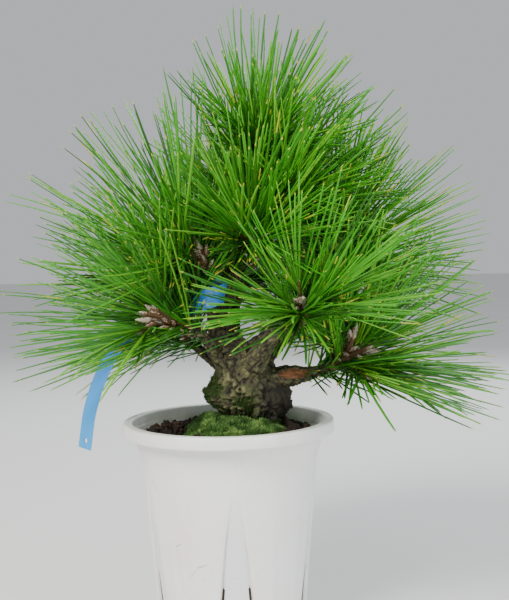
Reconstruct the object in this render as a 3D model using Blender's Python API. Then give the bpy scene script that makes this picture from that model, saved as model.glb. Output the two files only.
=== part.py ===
"""Corky bark Japanese black pine bonsai in its white plastic pot, as separate solids.

Metres, +Z up.  The origin is the middle of the pot's flat underside, and -Y faces the viewer.
The trunk and each bough end in a flat face, and what grows on from it starts a small gap further.
"""
import math
import random

import bmesh
import bpy
import numpy as np

MM = 0.001
GAP = 0.3 * MM  # between two solids that touch
EVEN_STEPS = (0.7548777, 0.5698403)  # their multiples fill a square evenly, in any number
UP = np.array((0.0, 0.0, 1.0))

# Pot: a cone with a rolled rim, five slightly flattened faces and a recess with two slits in each
POT_HEIGHT = 136 * MM
RIM_RADIUS = 65 * MM
RIM_INNER_RADIUS = 59.2 * MM
LIP_HEIGHT = 8.5 * MM
LIP_THICKNESS = 1.6 * MM
LIP_ROUNDING = 1.2 * MM
FOOT_RADIUS = 45.5 * MM
FOOT_ROUNDING = 0.8 * MM
BODY_RADIUS = 55.4 * MM
BODY_TOP = 124 * MM
SHOULDER_TOP = 129 * MM
WALL = 1.8 * MM
FLOOR = 2.4 * MM
FACE_COUNT = 5
FRONT_FACE_ANGLE = math.radians(-85.3)
FACE_HALF_ANGLE = math.radians(25.5)
FACE_FLATNESS = 1.4 * MM
RECESS_APEX = 100 * MM
RECESS_DEPTH = 3.4 * MM
RECESS_STEP = 1.2 * MM
SLIT_TOP = 44 * MM
SLIT_FOOT = 5 * MM
SLIT_WIDTH = 1.5 * MM
DRAIN_RING_RADIUS = 26 * MM
DRAIN_RADIUS = 3.5 * MM

# Soil and moss
SOIL_TOP = 127 * MM
SOIL_EDGE = 126 * MM
SOIL_EDGE_SLOPE = 0.9
SOIL_GAP = 0.6 * MM
SOIL_LUMP = 2.4 * MM
SOIL_LEVEL_MARGIN = 7 * MM
MOSS_INNER_RADIUS = 13.2 * MM
MOSS_REACH = 27 * MM
MOSS_SIDE_REACH = 13 * MM
MOSS_HEIGHT = 8.5 * MM
MOSS_LOW_HEIGHT = 3.5 * MM
MOSS_LEAN_ANGLE = math.radians(215)
MOSS_SIDES = 26

# Trunk, in mm from foot to tip: x, y, z, radius, share by which its left and right stand out
TRUNK_LINE = (
    (10.5, 1.0, 127.3, 11.6, 0.02),
    (10.5, 1.0, 133.0, 10.2, 0.02),
    (10.5, 1.0, 139.5, 11.8, 0.10),
    (10.8, 1.0, 145.0, 17.4, 0.18),
    (10.8, 1.0, 152.0, 20.0, 0.18),
    (10.0, 1.2, 160.0, 19.0, 0.12),
    (7.0, 1.8, 168.0, 15.0, 0.08),
    (3.0, 2.6, 176.0, 11.0, 0.05),
    (-1.6, 3.6, 184.0, 8.6, 0.03),
    (-4.4, 4.4, 194.0, 7.2, 0.02),
    (-3.6, 4.6, 206.0, 6.6, 0.02),
    (1.0, 4.2, 217.0, 6.2, 0.02),
    (7.2, 3.2, 229.0, 5.6, 0.02),
    (11.4, 2.0, 250.0, 4.8, 0.02),
    (13.8, 1.4, 273.0, 4.2, 0.02),
    (18.8, 1.8, 291.0, 3.4, 0.00),
)
TRUNK_RINGS = 30
TRUNK_SIDES = 14
RIB_COUNT = 5
RIB_SHARE = 0.06

# Boughs, in mm: points from the trunk's middle outwards, base radius, tip radius
BOUGHS = {
    "bough_left_low": (((3, 0, 164), (-7, -7, 176), (-15, -13, 190), (-23, -16, 195)), 4.2, 2.6),
    "bough_left_high": (((-3, 4, 192), (-9, -3, 203), (-14, -8, 210), (-17, -10, 217)), 3.8, 3.0),
    "bough_front": (((9, 1, 158), (18, -12, 173), (28, -25, 188), (39, -40, 195), (44, -50, 200)), 7.4, 3.4),
    "bough_right_low": (((14, 0, 156), (32, -4, 161), (50, -8, 164), (62, -12, 168)), 7.2, 2.6),
    "bough_right_high": (((6, 2, 168), (24, 9, 184), (48, 22, 204), (62, 30, 224)), 5.6, 2.8),
    "bough_back_left": (((-4, 4, 198), (-11, 16, 209), (-22, 27, 220)), 3.8, 2.6),
    "bough_back": (((4, 3, 176), (4, 22, 192), (5, 42, 207), (6, 50, 214)), 5.0, 2.8),
    "bough_back_right": (((12, 2, 156), (24, 22, 169), (38, 40, 182), (44, 48, 188)), 5.0, 2.8),
    "bough_back_low": (((6, 2, 158), (-8, 24, 168), (-22, 38, 178), (-29, 44, 182)), 4.6, 2.6),
}
BOUGH_SIDES = 8
BOUGH_RINGS = 7
COLLAR_FLARE = 1.3
COLLAR_MARGIN = 2.6 * MM

# Spurs, in mm: short collars on the leader that carry a mass of needles themselves
SPURS = {
    "spur_front": (((11, 2, 236), (16, -14, 243)), 3.0),
    "spur_right": (((13, 1.6, 256), (30, 0, 263)), 3.0),
    "spur_back": (((12.5, 1.6, 262), (10, 16, 270)), 2.8),
}

# Needle masses, in mm: what carries it, each shoot's bud and aim, needle length, widest angle
MASSES = {
    "needles_top": ("trunk", (((24.5, 2, 317), (0.28, -0.05, 1)),), 82, 76),
    "needles_leader_right": ("spur_right", (((48, -1, 276), (0.8, -0.1, 1)),), 88, 62),
    "needles_leader_front": ("spur_front", (((20, -30, 254), (0.15, -0.8, 1)),), 84, 66),
    "needles_leader_back": ("spur_back", (((8, 31, 284), (-0.1, 0.75, 1)),), 84, 66),
    "needles_left_high": ("bough_left_high", (((-18, -14, 249), (-0.4, -0.2, 1)),), 112, 64),
    "needles_left_low": (
        "bough_left_low",
        (((-54, -20, 200), (-1, -0.2, 0.12)), ((-48, -19, 209), (-0.85, 0.0, 0.7))),
        94,
        74,
    ),
    "needles_front": ("bough_front", (((45, -68, 213), (0.1, -1, 0.25)),), 84, 96),
    "needles_right_low": (
        "bough_right_low",
        (((93, -18, 178), (1, -0.15, 0.05)), ((79, -20, 195), (0.35, -0.4, 1))),
        90,
        70,
    ),
    "needles_right_high": (
        "bough_right_high",
        (((63, 37, 248), (0.45, 0.15, 1)), ((79, 30, 236), (1, -0.1, 0.5))),
        104,
        62,
    ),
    "needles_back_left": ("bough_back_left", (((-38, 38, 232), (-0.8, 0.5, 0.62)),), 96, 74),
    "needles_back": ("bough_back", (((6, 64, 226), (-0.1, 1, 0.75)),), 92, 76),
    "needles_back_right": ("bough_back_right", (((56, 62, 198), (0.75, 0.9, 0.32)),), 92, 78),
    "needles_back_low": ("bough_back_low", (((-42, 54, 190), (-0.8, 0.8, 0.12)),), 88, 76),
}
SEED = 16
STEM_SIDES = 4
STEM_RINGS = 6
BUD_LENGTH = 15 * MM
BUD_RADIUS = 2.7 * MM
FORK_REACH = 4 * MM
FORKED_SHARE = 0.68
SIDE_TWIGS = 2
SIDE_TWIG_TRIES = 12
SIDE_TWIG_LENGTH = 17 * MM
SIDE_TWIG_RADIUS = 1.3 * MM
SIDE_TWIG_OPENING = math.radians(48)
MAIN_NEEDLES = 23
SIDE_NEEDLES = 6
NEEDLE_WIDTH = 2.3 * MM
NEEDLE_ROOT_WIDTH = 1.1 * MM
NEEDLE_SAMPLES = 40
BEND_PLACE = 0.38
LOWEST_TIP = 134 * MM
NEEDLE_ARCH = 0.05
NEEDLE_TRIES = 30
SPACE_MARGIN = 1.6 * MM
LIMB_MARGIN = 0.8 * MM
STRAP_BALL = 1.4 * MM
RIM_BALL = 5 * MM
FREE_FROM_SHARE = 0.22  # the part of a needle past this share keeps to the mass's space

# Label strap, in mm: middle of the band and the way its width runs, from the tucked end down
STRAP_LINE = (
    ((-26, -7.5, 220), (0, 0, 1)),
    ((-16, -4.6, 218.5), (0, 0, 1)),
    ((-8, -5.6, 217.5), (0, 0, 1)),
    ((-1.6, -9.0, 216.5), (0.1, 0, 1)),
    ((0.4, -14.0, 215), (0.25, 0, 1)),
    ((-3.2, -18.8, 213.5), (0.25, 0, 1)),
    ((-10, -20.4, 211.5), (0.2, 0, 1)),
    ((-18, -16.2, 208.5), (0.1, 0.1, 1)),
    ((-26, -7.5, 203), (-0.1, 0.4, 1)),
    ((-37, -1.5, 198.5), (-0.2, 0.8, 0.9)),
    ((-50, -0.5, 194.5), (-0.3, 0.9, 0.8)),
    ((-62, -3, 188.5), (-0.5, 0.8, 0.6)),
    ((-71, -5, 177), (-0.65, 0.7, 0.3)),
    ((-78, -7, 163), (-0.72, 0.68, 0.15)),
    ((-84, -9, 145), (-0.74, 0.67, 0.1)),
    ((-88, -10, 121), (-0.74, 0.67, 0.05)),
)
STRAP_WIDTH = 12 * MM
STRAP_THICKNESS = 0.6 * MM
STRAP_STEPS = 44
STRAP_HOLE_RADIUS = 1.5 * MM
STRAP_HOLE_FROM_END = 5.5 * MM

# Colour, roughness
FINISHES = {
    "white_plastic": ((0.86, 0.86, 0.84), 0.38),
    "dark_soil": ((0.05, 0.03, 0.02), 0.95),
    "green_moss": ((0.09, 0.22, 0.03), 0.95),
    "corky_bark": ((0.09, 0.07, 0.04), 0.9),
    "pine_green": ((0.06, 0.26, 0.03), 0.45),
    "blue_plastic": ((0.03, 0.22, 0.62), 0.35),
}


def finish(name):
    """The named Principled material, made on its first use."""
    material = bpy.data.materials.get(name)
    if material is None:
        colour, roughness = FINISHES[name]
        material = bpy.data.materials.new(name)
        material.use_nodes = True
        shader = material.node_tree.nodes["Principled BSDF"]
        shader.inputs["Base Color"].default_value = (*colour, 1.0)
        shader.inputs["Roughness"].default_value = roughness
        shader.inputs["Metallic"].default_value = 0.0
        material.diffuse_color = (*colour, 1.0)
    return material


def add_object(name, vertices, faces, material, smooth=False):
    """A new object from vertices and faces, with its faces turned outwards."""
    mesh = bpy.data.meshes.new(name)
    mesh.from_pydata([tuple(map(float, v)) for v in vertices], [], faces)
    shape = bmesh.new()
    shape.from_mesh(mesh)
    bmesh.ops.recalc_face_normals(shape, faces=shape.faces)
    shape.to_mesh(mesh)
    shape.free()
    mesh.polygons.foreach_set("use_smooth", [smooth] * len(mesh.polygons))
    mesh.materials.append(finish(material))
    thing = bpy.data.objects.new(name, mesh)
    bpy.context.scene.collection.objects.link(thing)
    return thing


def remove_object(thing):
    mesh = thing.data
    bpy.data.objects.remove(thing)
    bpy.data.meshes.remove(mesh)


def unit(vector):
    vector = np.asarray(vector, dtype=float)
    return vector / np.linalg.norm(vector)


def spline(rows, count):
    """Rows of numbers eased through the given ones, evenly spaced along their x, y and z."""
    rows = np.asarray(rows, dtype=float)
    steps = np.linalg.norm(np.diff(rows[:, :3], axis=0), axis=1)
    along = np.concatenate(([0.0], np.cumsum(steps)))
    slopes = np.gradient(rows, along, axis=0)
    at = np.linspace(0.0, along[-1], count)
    k = np.clip(np.searchsorted(along, at, side="right") - 1, 0, len(rows) - 2)
    span = (along[k + 1] - along[k])[:, None]
    t = (at - along[k])[:, None] / span
    start = (1 + 2 * t) * (1 - t) ** 2 * rows[k] + t * (1 - t) ** 2 * span * slopes[k]
    end = t**2 * (3 - 2 * t) * rows[k + 1] + t**2 * (t - 1) * span * slopes[k + 1]
    return start + end


def cross_axes(points, side=(1.0, 0.0, 0.0)):
    """For each point of a path, two directions square to it that turn as little as they can."""
    along = np.gradient(points, axis=0)
    first = []
    second = []
    side = np.asarray(side, dtype=float)
    for direction in along:
        direction = unit(direction)
        if abs(direction @ unit(side)) > 0.98:
            side = np.array((0.0, 1.0, 0.0))
        side = unit(side - (side @ direction) * direction)
        first.append(side)
        second.append(np.cross(direction, side))
    return np.array(first), np.array(second)


def rings_round(points, radii, sides, start_side=(1.0, 0.0, 0.0)):
    """Rings of points round a path; radii holds one radius for each ring, or one for each point."""
    first, second = cross_axes(points, start_side)
    angles = np.linspace(0.0, 2 * math.pi, sides, endpoint=False)
    radii = np.asarray(radii, dtype=float).reshape(len(points), -1, 1)
    outward = (
        np.cos(angles)[None, :, None] * first[:, None, :]
        + np.sin(angles)[None, :, None] * second[:, None, :]
    )
    return points[:, None, :] + radii * outward


def tube(rings):
    """Vertices and faces of a closed tube through the given rings, with a flat cap at each end."""
    count, sides, _ = rings.shape
    faces = []
    for row in range(count - 1):
        for k in range(sides):
            after = (k + 1) % sides
            low = row * sides
            high = low + sides
            faces.append((low + k, low + after, high + after, high + k))
    faces.append(tuple(range(sides)))
    faces.append(tuple(range((count - 1) * sides, count * sides)))
    return rings.reshape(-1, 3), faces


def wrapped_grid(rings):
    """Vertices and faces of a closed ring-shaped solid whose rows of points close on themselves."""
    rows, sides, _ = rings.shape
    faces = []
    for row in range(rows):
        for k in range(sides):
            after = (k + 1) % sides
            low = row * sides
            high = (row + 1) % rows * sides
            faces.append((low + k, low + after, high + after, high + k))
    return rings.reshape(-1, 3), faces


def combine(thing, others, operation, solver="EXACT"):
    """Apply one Boolean between an object and a collection of others, then remove the others."""
    group = bpy.data.collections.new(thing.name + "_joined")
    for other in others:
        group.objects.link(other)
    change = thing.modifiers.new("Join", "BOOLEAN")
    change.operation = operation
    change.operand_type = "COLLECTION"
    change.collection = group
    change.solver = solver
    evaluated = thing.evaluated_get(bpy.context.evaluated_depsgraph_get())
    joined = bpy.data.meshes.new_from_object(evaluated)
    thing.modifiers.clear()
    before = thing.data
    thing.data = joined
    bpy.data.meshes.remove(before)
    joined.name = thing.name
    bpy.data.collections.remove(group)
    for other in others:
        remove_object(other)


def keep_main_shell(thing):
    """Drop loose scraps and fill sealed hollows: only the shell with the most faces stays."""
    shape = bmesh.new()
    shape.from_mesh(thing.data)
    shape.faces.ensure_lookup_table()
    unseen = set(shape.faces)
    shells = []
    while unseen:
        stack = [unseen.pop()]
        shell = []
        while stack:
            face = stack.pop()
            shell.append(face)
            for edge in face.edges:
                for other in edge.link_faces:
                    if other in unseen:
                        unseen.remove(other)
                        stack.append(other)
        shells.append(shell)
    shells.sort(key=len)
    for shell in shells[:-1]:
        bmesh.ops.delete(shape, geom=shell, context="FACES")
    shape.to_mesh(thing.data)
    shape.free()


def body_radius(height):
    """Outer radius of the pot's plain cone at a height."""
    return FOOT_RADIUS + (BODY_RADIUS - FOOT_RADIUS) * height / BODY_TOP


def recess_half_width(height):
    """Half the width of the pot's recess: nothing at its apex, then wider downwards."""
    below = max(RECESS_APEX - height, 0.0) / MM
    return (0.95 * math.sqrt(below) + 0.015 * below) * MM


def pot_columns(height):
    """Angles of the pot's columns at a height, each with its cut below the round cone."""
    radius = body_radius(min(height, BODY_TOP))
    depth_share = max(RECESS_APEX - height, 0.0) / RECESS_APEX
    flat = FACE_FLATNESS * max(BODY_TOP - height, 0.0) / BODY_TOP
    recess = RECESS_DEPTH * depth_share
    rib = math.pi / FACE_COUNT
    step = RECESS_STEP / radius
    spread = max(recess_half_width(height) / radius, 2 * step)
    chord = radius * (1 - math.cos(spread))
    even = min(max(height - RECESS_APEX, 0.0) / (BODY_TOP - RECESS_APEX), 1.0)
    inner_angle = (spread - step) * (1 - even) + rib / 4 * even
    edge_angle = spread * (1 - even) + rib / 2 * even
    outer_angle = FACE_HALF_ANGLE * (1 - even) + rib * 3 / 4 * even
    half = ((inner_angle, flat + recess), (edge_angle, flat), (outer_angle, 0.0))
    columns = [(-rib, 0.0)]
    columns += [(-angle, cut) for angle, cut in reversed(half)]
    columns += [(0.0, flat + recess - chord * depth_share * 0.5)]
    columns += list(half)
    return [
        (FRONT_FACE_ANGLE + face * 2 * rib + angle, cut)
        for face in range(FACE_COUNT)
        for angle, cut in columns
    ]


def pot_ring(radius, height, shape_height=None):
    """One ring of the pot at a radius and height, with the cut of its faces and recesses."""
    columns = pot_columns(height if shape_height is None else shape_height)
    return [
        ((radius - cut) * math.cos(angle), (radius - cut) * math.sin(angle), height)
        for angle, cut in columns
    ]


def pot_heights():
    """Heights of the rings on the pot's body, close together where the recess narrows."""
    return [h * MM for h in (44, 66, 84, 94, 99.5, 106, 115, 124)]


def make_pot():
    skirt_foot = POT_HEIGHT - LIP_HEIGHT
    groove_top = POT_HEIGHT - LIP_THICKNESS
    skirt_inner = RIM_RADIUS - LIP_THICKNESS
    neck = RIM_INNER_RADIUS + WALL
    half_lip = LIP_THICKNESS / 2
    rings = [pot_ring(body_radius(0) - FOOT_ROUNDING, 0.0)]
    rings.append(pot_ring(body_radius(FOOT_ROUNDING), FOOT_ROUNDING))
    rings += [pot_ring(body_radius(h), h) for h in pot_heights()]
    outline = (
        (neck - 0.6 * MM, SHOULDER_TOP),
        (neck, groove_top),
        (skirt_inner, groove_top),
        (skirt_inner, skirt_foot + half_lip / 2),
        (skirt_inner + half_lip, skirt_foot),
        (RIM_RADIUS, skirt_foot + half_lip),
        (RIM_RADIUS, POT_HEIGHT - LIP_ROUNDING),
        (RIM_RADIUS - LIP_ROUNDING, POT_HEIGHT),
        (RIM_INNER_RADIUS + 0.6 * LIP_ROUNDING, POT_HEIGHT),
        (RIM_INNER_RADIUS, POT_HEIGHT - 0.6 * LIP_ROUNDING),
        (RIM_INNER_RADIUS - 0.6 * MM, SHOULDER_TOP),
    )
    rings += [pot_ring(radius, height, BODY_TOP) for radius, height in outline]
    rings += [pot_ring(body_radius(h) - WALL, h) for h in reversed(pot_heights())]
    rings.append(pot_ring(body_radius(FLOOR) - WALL, FLOOR))
    pot = add_object("pot", *tube(np.array(rings)), "white_plastic")
    combine(pot, pot_cutters(), "DIFFERENCE")
    return pot


def pot_cutters():
    """A thin upright block for each slit, along its recess's edge, and a rod for each drain hole."""
    cutters = []
    rib = math.pi / FACE_COUNT
    for face in range(FACE_COUNT):
        middle = FRONT_FACE_ANGLE + face * 2 * rib
        for side in (-1, 1):
            rings = []
            for height in (SLIT_FOOT, SLIT_TOP):
                radius = body_radius(height) - FACE_FLATNESS
                inset = (recess_half_width(height) - RECESS_STEP - SLIT_WIDTH / 2) / radius
                angle = middle + side * inset
                outward = np.array((math.cos(angle), math.sin(angle), 0.0))
                across = np.array((-outward[1], outward[0], 0.0))
                centre = outward * radius + UP * height
                rings.append([
                    centre + outward * 5 * MM * a + across * SLIT_WIDTH / 2 * b
                    for a, b in ((-2, -1), (1, -1), (1, 1), (-2, 1))
                ])
            cutters.append(add_object("slit", *tube(np.array(rings)), "white_plastic"))
        reach = middle + rib
        place = np.array((math.cos(reach), math.sin(reach), 0.0)) * DRAIN_RING_RADIUS
        rod = np.array((place - UP * FLOOR, place + UP * 2 * FLOOR))
        rings = rings_round(rod, (DRAIN_RADIUS, DRAIN_RADIUS), 12)
        cutters.append(add_object("drain", *tube(rings), "white_plastic"))
    return cutters


def moss_reach(angle):
    """How far the moss spreads from the trunk's foot in a direction, with a rippled edge."""
    lean = (1 + np.cos(angle - MOSS_LEAN_ANGLE)) / 2
    ripple = 1 + 0.10 * np.sin(5 * angle + 0.8) + 0.06 * np.sin(9 * angle)
    return (MOSS_SIDE_REACH + (MOSS_REACH - MOSS_SIDE_REACH) * lean) * ripple


def soil_relief(x, y):
    """How far the soil stands above its level: lumps, but none under the moss and the trunk."""
    x_away = x - TRUNK_LINE[0][0] * MM
    y_away = y - TRUNK_LINE[0][1] * MM
    level_to = MOSS_INNER_RADIUS + moss_reach(math.atan2(y_away, x_away)) + SOIL_LEVEL_MARGIN
    share = min(max((math.hypot(x_away, y_away) - level_to) / (6 * MM), 0.0), 1.0)
    waves = math.sin(x * 310 + 1.3) * math.cos(y * 270 - 0.4) + 0.6 * math.sin(y * 520 + x * 190)
    return share * SOIL_LUMP * max(waves, -0.3)


def make_soil():
    foot = FLOOR + GAP
    inset = WALL + SOIL_GAP
    rings = [pot_ring(body_radius(foot) - inset, foot, foot)]
    rings += [pot_ring(body_radius(h) - inset, h) for h in pot_heights()]
    edge_radius = BODY_RADIUS - inset + SOIL_EDGE_SLOPE * (SOIL_EDGE - BODY_TOP)
    rings.append(pot_ring(edge_radius, SOIL_EDGE, BODY_TOP))
    for share in (0.86, 0.7):
        ring = pot_ring(edge_radius * share, SOIL_TOP, BODY_TOP)
        rings.append([(x, y, z + soil_relief(x, y)) for x, y, z in ring])
    rings.append(pot_ring(edge_radius * 0.5, SOIL_TOP, BODY_TOP))
    return add_object("soil", *tube(np.array(rings)), "dark_soil")


def make_moss():
    """A mound round the trunk's foot, high and wide on the front left and low behind."""
    centre = np.array(TRUNK_LINE[0][:2]) * MM
    angles = np.linspace(0.0, 2 * math.pi, MOSS_SIDES, endpoint=False)
    lean = (1 + np.cos(angles - MOSS_LEAN_ANGLE)) / 2
    height = MOSS_LOW_HEIGHT + (MOSS_HEIGHT - MOSS_LOW_HEIGHT) * lean
    foot = SOIL_TOP + GAP
    rings = []
    for out, rise in ((0.0, 0.0), (0.0, 0.78), (0.2, 1.0), (0.5, 0.9), (0.78, 0.62), (1.0, 0.0)):
        lumps = 1 + 0.12 * np.sin(7 * angles + 9 * out) if 0 < out < 1 else 1
        radius = MOSS_INNER_RADIUS + moss_reach(angles) * out
        z = foot + height * rise * lumps
        rings.append(np.stack((
            centre[0] + radius * np.cos(angles),
            centre[1] + radius * np.sin(angles),
            np.broadcast_to(z, angles.shape),
        ), axis=1))
    return add_object("moss", *wrapped_grid(np.array(rings)), "green_moss", smooth=True)


def trunk_rows(count):
    """Points of the trunk's middle, radii, and shares by which its two sides stand out."""
    rows = spline(TRUNK_LINE, count)
    return rows[:, :3] * MM, rows[:, 3] * MM, rows[:, 4]


def trunk_radii(radii, standing_out, sides):
    """Radius at each angle: the sides stand out, and low ribs run up the bark."""
    angles = np.linspace(0.0, 2 * math.pi, sides, endpoint=False)[None, :]
    ribs = RIB_SHARE * np.cos(RIB_COUNT * angles + 0.7)
    return radii[:, None] * (1 + standing_out[:, None] * np.cos(2 * angles) + ribs)


def collar_end(line, radii):
    """How many samples of a limb's line stay in the trunk's collar, which clears the trunk."""
    trunk_points, trunk_size, standing_out = trunk_rows(200)
    reach = trunk_size * (1 + standing_out + RIB_SHARE)
    away = np.linalg.norm(line[:, None, :] - trunk_points[None, :, :], axis=2) - reach[None, :]
    inside = away.min(axis=1) < radii + COLLAR_MARGIN
    return int(np.flatnonzero(inside)[-1]) + 2


def limb_line(name):
    """Fine samples of a bough's or spur's middle and its radii, from the trunk's middle out."""
    if name in BOUGHS:
        points, base_radius, tip_radius = BOUGHS[name]
    else:
        points, base_radius = SPURS[name]
        tip_radius = base_radius
    line = spline(np.array(points) * MM, 160)
    return line, np.linspace(base_radius, tip_radius, len(line)) * MM


def make_trunk():
    points, radii, standing_out = trunk_rows(TRUNK_RINGS)
    rings = rings_round(points, trunk_radii(radii, standing_out, TRUNK_SIDES), TRUNK_SIDES)
    rings[0, :, 2] = points[0, 2]
    trunk = add_object("trunk", *tube(rings), "corky_bark")
    collars = []
    for name in (*BOUGHS, *SPURS):
        line, sizes = limb_line(name)
        end = collar_end(line, sizes)
        sizes[:end + 1] *= np.linspace(COLLAR_FLARE, 1.0, end + 1)
        picked = np.linspace(0, end, 4).round().astype(int)
        rings = rings_round(line, sizes, BOUGH_SIDES)[picked]
        collars.append(add_object(name + "_collar", *tube(rings), "corky_bark"))
    combine(trunk, collars, "UNION")
    keep_main_shell(trunk)
    return trunk


def make_bough(name):
    line, sizes = limb_line(name)
    start = collar_end(line, sizes)
    picked = np.linspace(start, len(line) - 1, BOUGH_RINGS).round().astype(int)
    rings = rings_round(line, sizes, BOUGH_SIDES)[picked]
    rings[0] += unit(line[start + 1] - line[start - 1]) * GAP
    return add_object(name, *tube(rings), "corky_bark")


def seat_of(carrier):
    """Where a carrier's flat end is, which way it faces and its radius there."""
    if carrier == "trunk":
        points, radii, _ = trunk_rows(TRUNK_RINGS)
        return points[-1], unit(points[-1] - points[-2]), radii[-1]
    line, sizes = limb_line(carrier)
    end = collar_end(line, sizes) if carrier in SPURS else len(line) - 1
    return line[end], unit(line[end] - line[end - 3]), sizes[end]


def turned_from(axis, opening, turn):
    """The direction at an angle of opening from an axis, turned round it."""
    first = unit(np.cross(axis, UP if abs(axis[2]) < 0.9 else (1.0, 0.0, 0.0)))
    second = np.cross(axis, first)
    sideways = math.cos(turn) * first + math.sin(turn) * second
    return math.cos(opening) * axis + math.sin(opening) * sideways


def grow_twigs(name, limbs):
    """A mass's twigs: each has its path, two radii, its bud's aim and how many needles it bears."""
    carrier, shoots, _, _ = MASSES[name]
    dice = random.Random(SEED + list(MASSES).index(name))
    seat, facing, seat_radius = seat_of(carrier)
    seat = seat + facing * GAP
    fork = seat + facing * FORK_REACH
    twigs = []
    for bud, aim in shoots:
        aim = unit(aim)
        bud_foot = np.array(bud) * MM - aim * BUD_LENGTH
        bend = fork + facing * np.linalg.norm(bud_foot - fork) * 0.35
        path = spline((seat, fork, (bend + bud_foot) / 2, bud_foot), STEM_RINGS)
        radii = np.linspace(seat_radius, BUD_RADIUS * 0.75, STEM_RINGS)
        share = MAIN_NEEDLES if len(shoots) == 1 else int(MAIN_NEEDLES * FORKED_SHARE)
        twigs.append((path, radii, aim, share))
    for k in range(SIDE_TWIG_TRIES):
        path, _, aim, _ = twigs[k % len(shoots)]
        root = path[3 + k % 2]
        turn = k * math.pi + dice.uniform(-0.8, 0.8)
        heading = turned_from(aim, SIDE_TWIG_OPENING + dice.uniform(-0.1, 0.15), turn)
        tip = root + unit(heading + 0.2 * UP) * SIDE_TWIG_LENGTH * dice.uniform(0.8, 1.15)
        samples = np.linspace(root + (tip - root) * 0.25, tip, 8)
        if clear_distance(samples, limbs) > SIDE_TWIG_RADIUS + LIMB_MARGIN:
            path = np.array((root, tip))
            twigs.append((path, np.full(2, SIDE_TWIG_RADIUS), unit(tip - root), SIDE_NEEDLES))
        if len(twigs) == len(shoots) + SIDE_TWIGS:
            break
    return twigs


def mass_centre(name):
    """The middle of a mass's space: ahead of its buds by less than half a needle."""
    _, shoots, length, _ = MASSES[name]
    ahead = [np.array(bud) * MM + unit(aim) * 0.42 * length * MM for bud, aim in shoots]
    return np.mean(ahead, axis=0)


def strap_points(count):
    """Samples of the strap's middle and of the direction across it."""
    rows = spline([(*point, *across) for point, across in STRAP_LINE], count)
    points = rows[:, :3] * MM
    along = np.gradient(points, axis=0)
    along /= np.linalg.norm(along, axis=1)[:, None]
    across = rows[:, 3:]
    across = across - (across * along).sum(axis=1)[:, None] * along
    return points, across / np.linalg.norm(across, axis=1)[:, None]


def limb_balls():
    """Balls that stand for the limbs, the pot's rim and the strap, as centres and radii."""
    points, radii, standing_out = trunk_rows(120)
    balls = [(points, radii * (1 + standing_out + RIB_SHARE))]
    balls += [limb_line(name) for name in (*BOUGHS, *SPURS)]
    points, across = strap_points(80)
    for offset in np.linspace(-0.5, 0.5, 7):
        balls.append((points + across * offset * STRAP_WIDTH, np.full(80, STRAP_BALL)))
    angles = np.linspace(0.0, 2 * math.pi, 90)
    rim = np.stack((np.cos(angles), np.sin(angles), 0 * angles), axis=1)
    balls.append((rim * RIM_RADIUS + UP * (POT_HEIGHT - RIM_BALL), np.full(90, RIM_BALL)))
    return tuple(np.concatenate(side) for side in zip(*balls))


def twig_balls(twigs):
    """Balls that stand for a mass's twigs and buds, as centres and radii."""
    balls = []
    for path, radii, aim, _ in twigs:
        line = spline(np.vstack((path, path[-1] + aim * BUD_LENGTH)), 30)
        balls.append((line, np.full(30, max(radii.max(), BUD_RADIUS))))
    return tuple(np.concatenate(side) for side in zip(*balls))


def clear_distance(samples, balls):
    """The least distance from any sample to the surface of any ball."""
    places, sizes = balls
    away = np.linalg.norm(samples[:, None, :] - places[None, :, :], axis=2) - sizes[None, :]
    return away.min()


def is_free(name, centres, balls, samples):
    """Whether a needle stays in its mass's space and clear of all that is not of its mass."""
    outer = samples[int(NEEDLE_SAMPLES * FREE_FROM_SHARE):]
    own = centres[name]
    for other, centre in centres.items():
        if other == name:
            continue
        between = centre - own
        past = (outer - (own + centre) / 2) @ unit(between)
        if past.max() > -SPACE_MARGIN:
            return False
    if outer[:, 2].min() < LOWEST_TIP:
        return False
    return clear_distance(samples, balls) > NEEDLE_WIDTH / 2 + LIMB_MARGIN


def is_apart(samples, taken):
    """Whether a needle crosses none of its mass's other needles past their crowded roots."""
    if not taken:
        return True
    past_root = int(NEEDLE_SAMPLES * FREE_FROM_SHARE)
    others = np.array(taken)[:, past_root:].reshape(-1, 3)
    away = np.linalg.norm(samples[past_root:, None, :] - others[None, :, :], axis=2)
    return away.min() > NEEDLE_WIDTH * 0.9


def grow_needles(name, twigs, centres, balls):
    """A mass's needles, each by its root, its bend and its tip, spread evenly round each bud."""
    _, _, length, widest = MASSES[name]
    dice = random.Random(SEED * 7 + list(MASSES).index(name))
    needles = []
    taken = []
    for path, _, aim, wanted in twigs:
        is_main = wanted != SIDE_NEEDLES
        bud_length = BUD_LENGTH if is_main else BUD_LENGTH * 0.6
        reach = length * MM * (1.0 if is_main else 0.62)
        tries = wanted * NEEDLE_TRIES
        narrow = math.cos(math.radians(8))
        wide = math.cos(math.radians(widest))
        kept = 0
        for k in range(tries):
            share = (0.5 + k * EVEN_STEPS[0]) % 1.0
            opening = math.acos(narrow + (wide - narrow) * share)
            heading = turned_from(aim, opening, 2 * math.pi * k * EVEN_STEPS[1])
            root = path[-1] + aim * bud_length * (0.95 - 0.75 * share)
            own_reach = reach * dice.uniform(0.84, 1.0) * (1.0 - 0.12 * share)
            middle = root + heading * own_reach * BEND_PLACE
            arch = unit(UP + 0.5 * aim) * own_reach * NEEDLE_ARCH * dice.uniform(0.2, 1.0)
            tip = root + heading * own_reach - arch
            samples = spline((root + heading * 6 * MM, middle, tip), NEEDLE_SAMPLES)
            if is_free(name, centres, balls, samples) and is_apart(samples, taken):
                needles.append((root, middle, tip))
                taken.append(samples)
                kept += 1
            if kept == wanted:
                break
    return needles


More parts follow.
